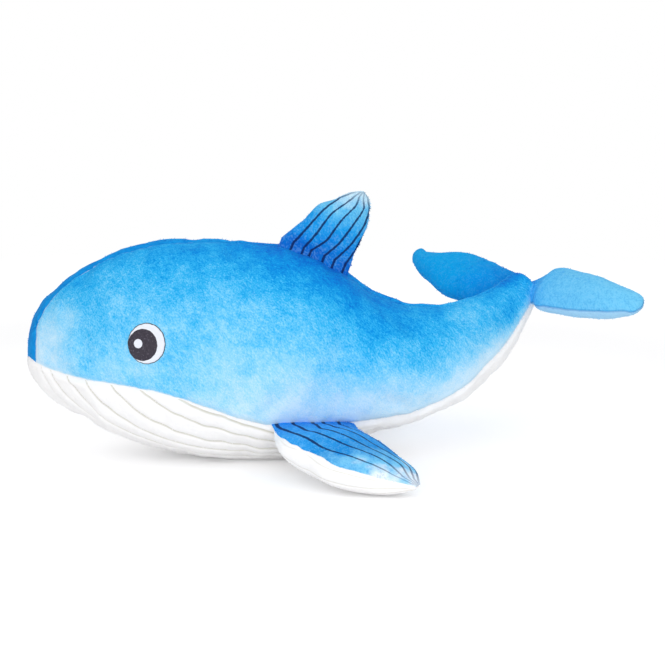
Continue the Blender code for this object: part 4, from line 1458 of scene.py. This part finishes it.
pieces.append(stuffing)

trees = {}
for seed, (piece, place, bend) in enumerate(covers, FIRST_SEED):
    material = piece.data.materials[0]
    if material.name not in trees:
        trees[material.name] = tuft_tree(material)
    tufts = tufts_on(piece, trees[material.name], seed)
    move_with(tufts, bend)

# The rounds of an eye: how far forward and down, radius, how high it stands, thread and slot
EYE_ROUNDS = {
    "outline": (0, 0, EYE_DIAMETER / 2, 0.0006, black_thread, "thread_black"),
    "white": (0, 0, EYE_DIAMETER / 2 - EYE_EDGE, 0.0009, white_thread, "thread_white"),
    "pupil": (PUPIL_FORWARD, PUPIL_DROP, PUPIL_DIAMETER / 2, 0.0012, black_thread, "thread_black"),
    "glint": (PUPIL_FORWARD + GLINT_FORWARD, 0, GLINT_DIAMETER / 2, 0.0015, white_thread, "thread_white"),
}
for side, word in SIDES:
    skin = outer_skin(sides[word])
    for kind, (forward, drop, radius, height, material, place) in EYE_ROUNDS.items():
        name = word + "_eye_" + kind
        patch = eye_patch(name + "_stitches", skin, side, forward, drop, radius, height)
        dress(patch, material, [name], "body")


# Floor, light and camera

FLOOR_SIZE = 8
FLOOR_GLOW = 0.24
SHADOW_REACH = (0.30, 0.95)
WORLD_LIGHT = 0.80
# Lamps: place, the point they face, size and power
LAMPS = {
    "key_lamp": ((-0.5, -1.5, 1.2), (0.05, 0, 0.08), 1.3, 3.3),
    "low_lamp": ((0.2, -1.6, 0.16), (0.05, 0, 0.05), 0.9, 9.6),
    "top_lamp": ((0.3, 0.6, 1.9), (0.05, 0, 0.08), 1.4, 2),
}
EYE_LEVEL = math.radians(12)
DISTANCE = 1.6
SENSOR = 36
VIEW_WIDTH = 0.665 / 1.3667


def seen_by_camera(nodes):
    """1 for what the camera sees, also in a mirror or through glass, and 0 for what lights the whale."""
    ray = nodes.node("ShaderNodeLightPath")
    rays = ("Is Camera Ray", "Is Glossy Ray", "Is Transmission Ray")
    direct, glossy, through = (Wire(nodes, ray.outputs[kind]) for kind in rays)
    return nodes.maths("ADD", direct, glossy + through, clamped=True)


def floor_white():
    """A floor that shows the whale's soft shadow and is plain white further off."""
    sheet = Sheet("floor_white")
    place = sheet.wire("ShaderNodeTexCoord", output="Object")
    length = sheet.wire("ShaderNodeVectorMath", {"operation": "LENGTH"}, {0: place}, "Value")
    far = sheet.smooth(length, *SHADOW_REACH)
    glow = sheet.smooth(far, 0, 1, FLOOR_GLOW, 1.0) * seen_by_camera(sheet)
    return sheet.finished({
        "Base Color": sheet.mix(far, paint(249, 249, 250), paint(0, 0, 0)),
        "Roughness": 1.0,
        "Specular IOR Level": 0.0,
        "Emission Color": sheet.mix(glow, paint(0, 0, 0), paint(255, 255, 255)),
        "Emission Strength": 1.0,
    })


bpy.ops.mesh.primitive_plane_add(size=FLOOR_SIZE, location=(0, 0, 0))
floor = bpy.context.object
floor.name = "floor"
floor.data.materials.append(floor_white())

world = bpy.data.worlds.new("studio")
bpy.context.scene.world = world
world.use_nodes = True
studio = Nodes(world.node_tree)
strength = seen_by_camera(studio) * (1 - WORLD_LIGHT) + WORLD_LIGHT
sky = studio.wire("ShaderNodeBackground", {}, {"Color": (1, 1, 1, 1), "Strength": strength})
studio.node("ShaderNodeOutputWorld", {}, {"Surface": sky})

for name, (place, aim, size, power) in LAMPS.items():
    light = bpy.data.lights.new(name, "AREA")
    light.shape = "DISK"
    light.size = size
    light.energy = power
    lamp = new_object(name, light)
    lamp.location = place
    lamp.rotation_euler = (Vector(place) - Vector(aim)).to_track_quat("Z", "Y").to_euler()

aim = Vector((0.2246 - REST_X, 0, 0.075))
away = Vector((0, -math.cos(EYE_LEVEL), math.sin(EYE_LEVEL)))
lens = bpy.data.cameras.new("camera")
camera = new_object("camera", lens)
camera.location = aim + away * DISTANCE
camera.rotation_euler = away.to_track_quat("Z", "Y").to_euler()
lens.sensor_width = SENSOR
lens.lens = SENSOR * DISTANCE / VIEW_WIDTH
lens.shift_x = -0.0037
lens.shift_y = 0.0338
lens.clip_start = 0.05
bpy.context.scene.camera = camera
bpy.context.scene.view_settings.view_transform = "Standard"
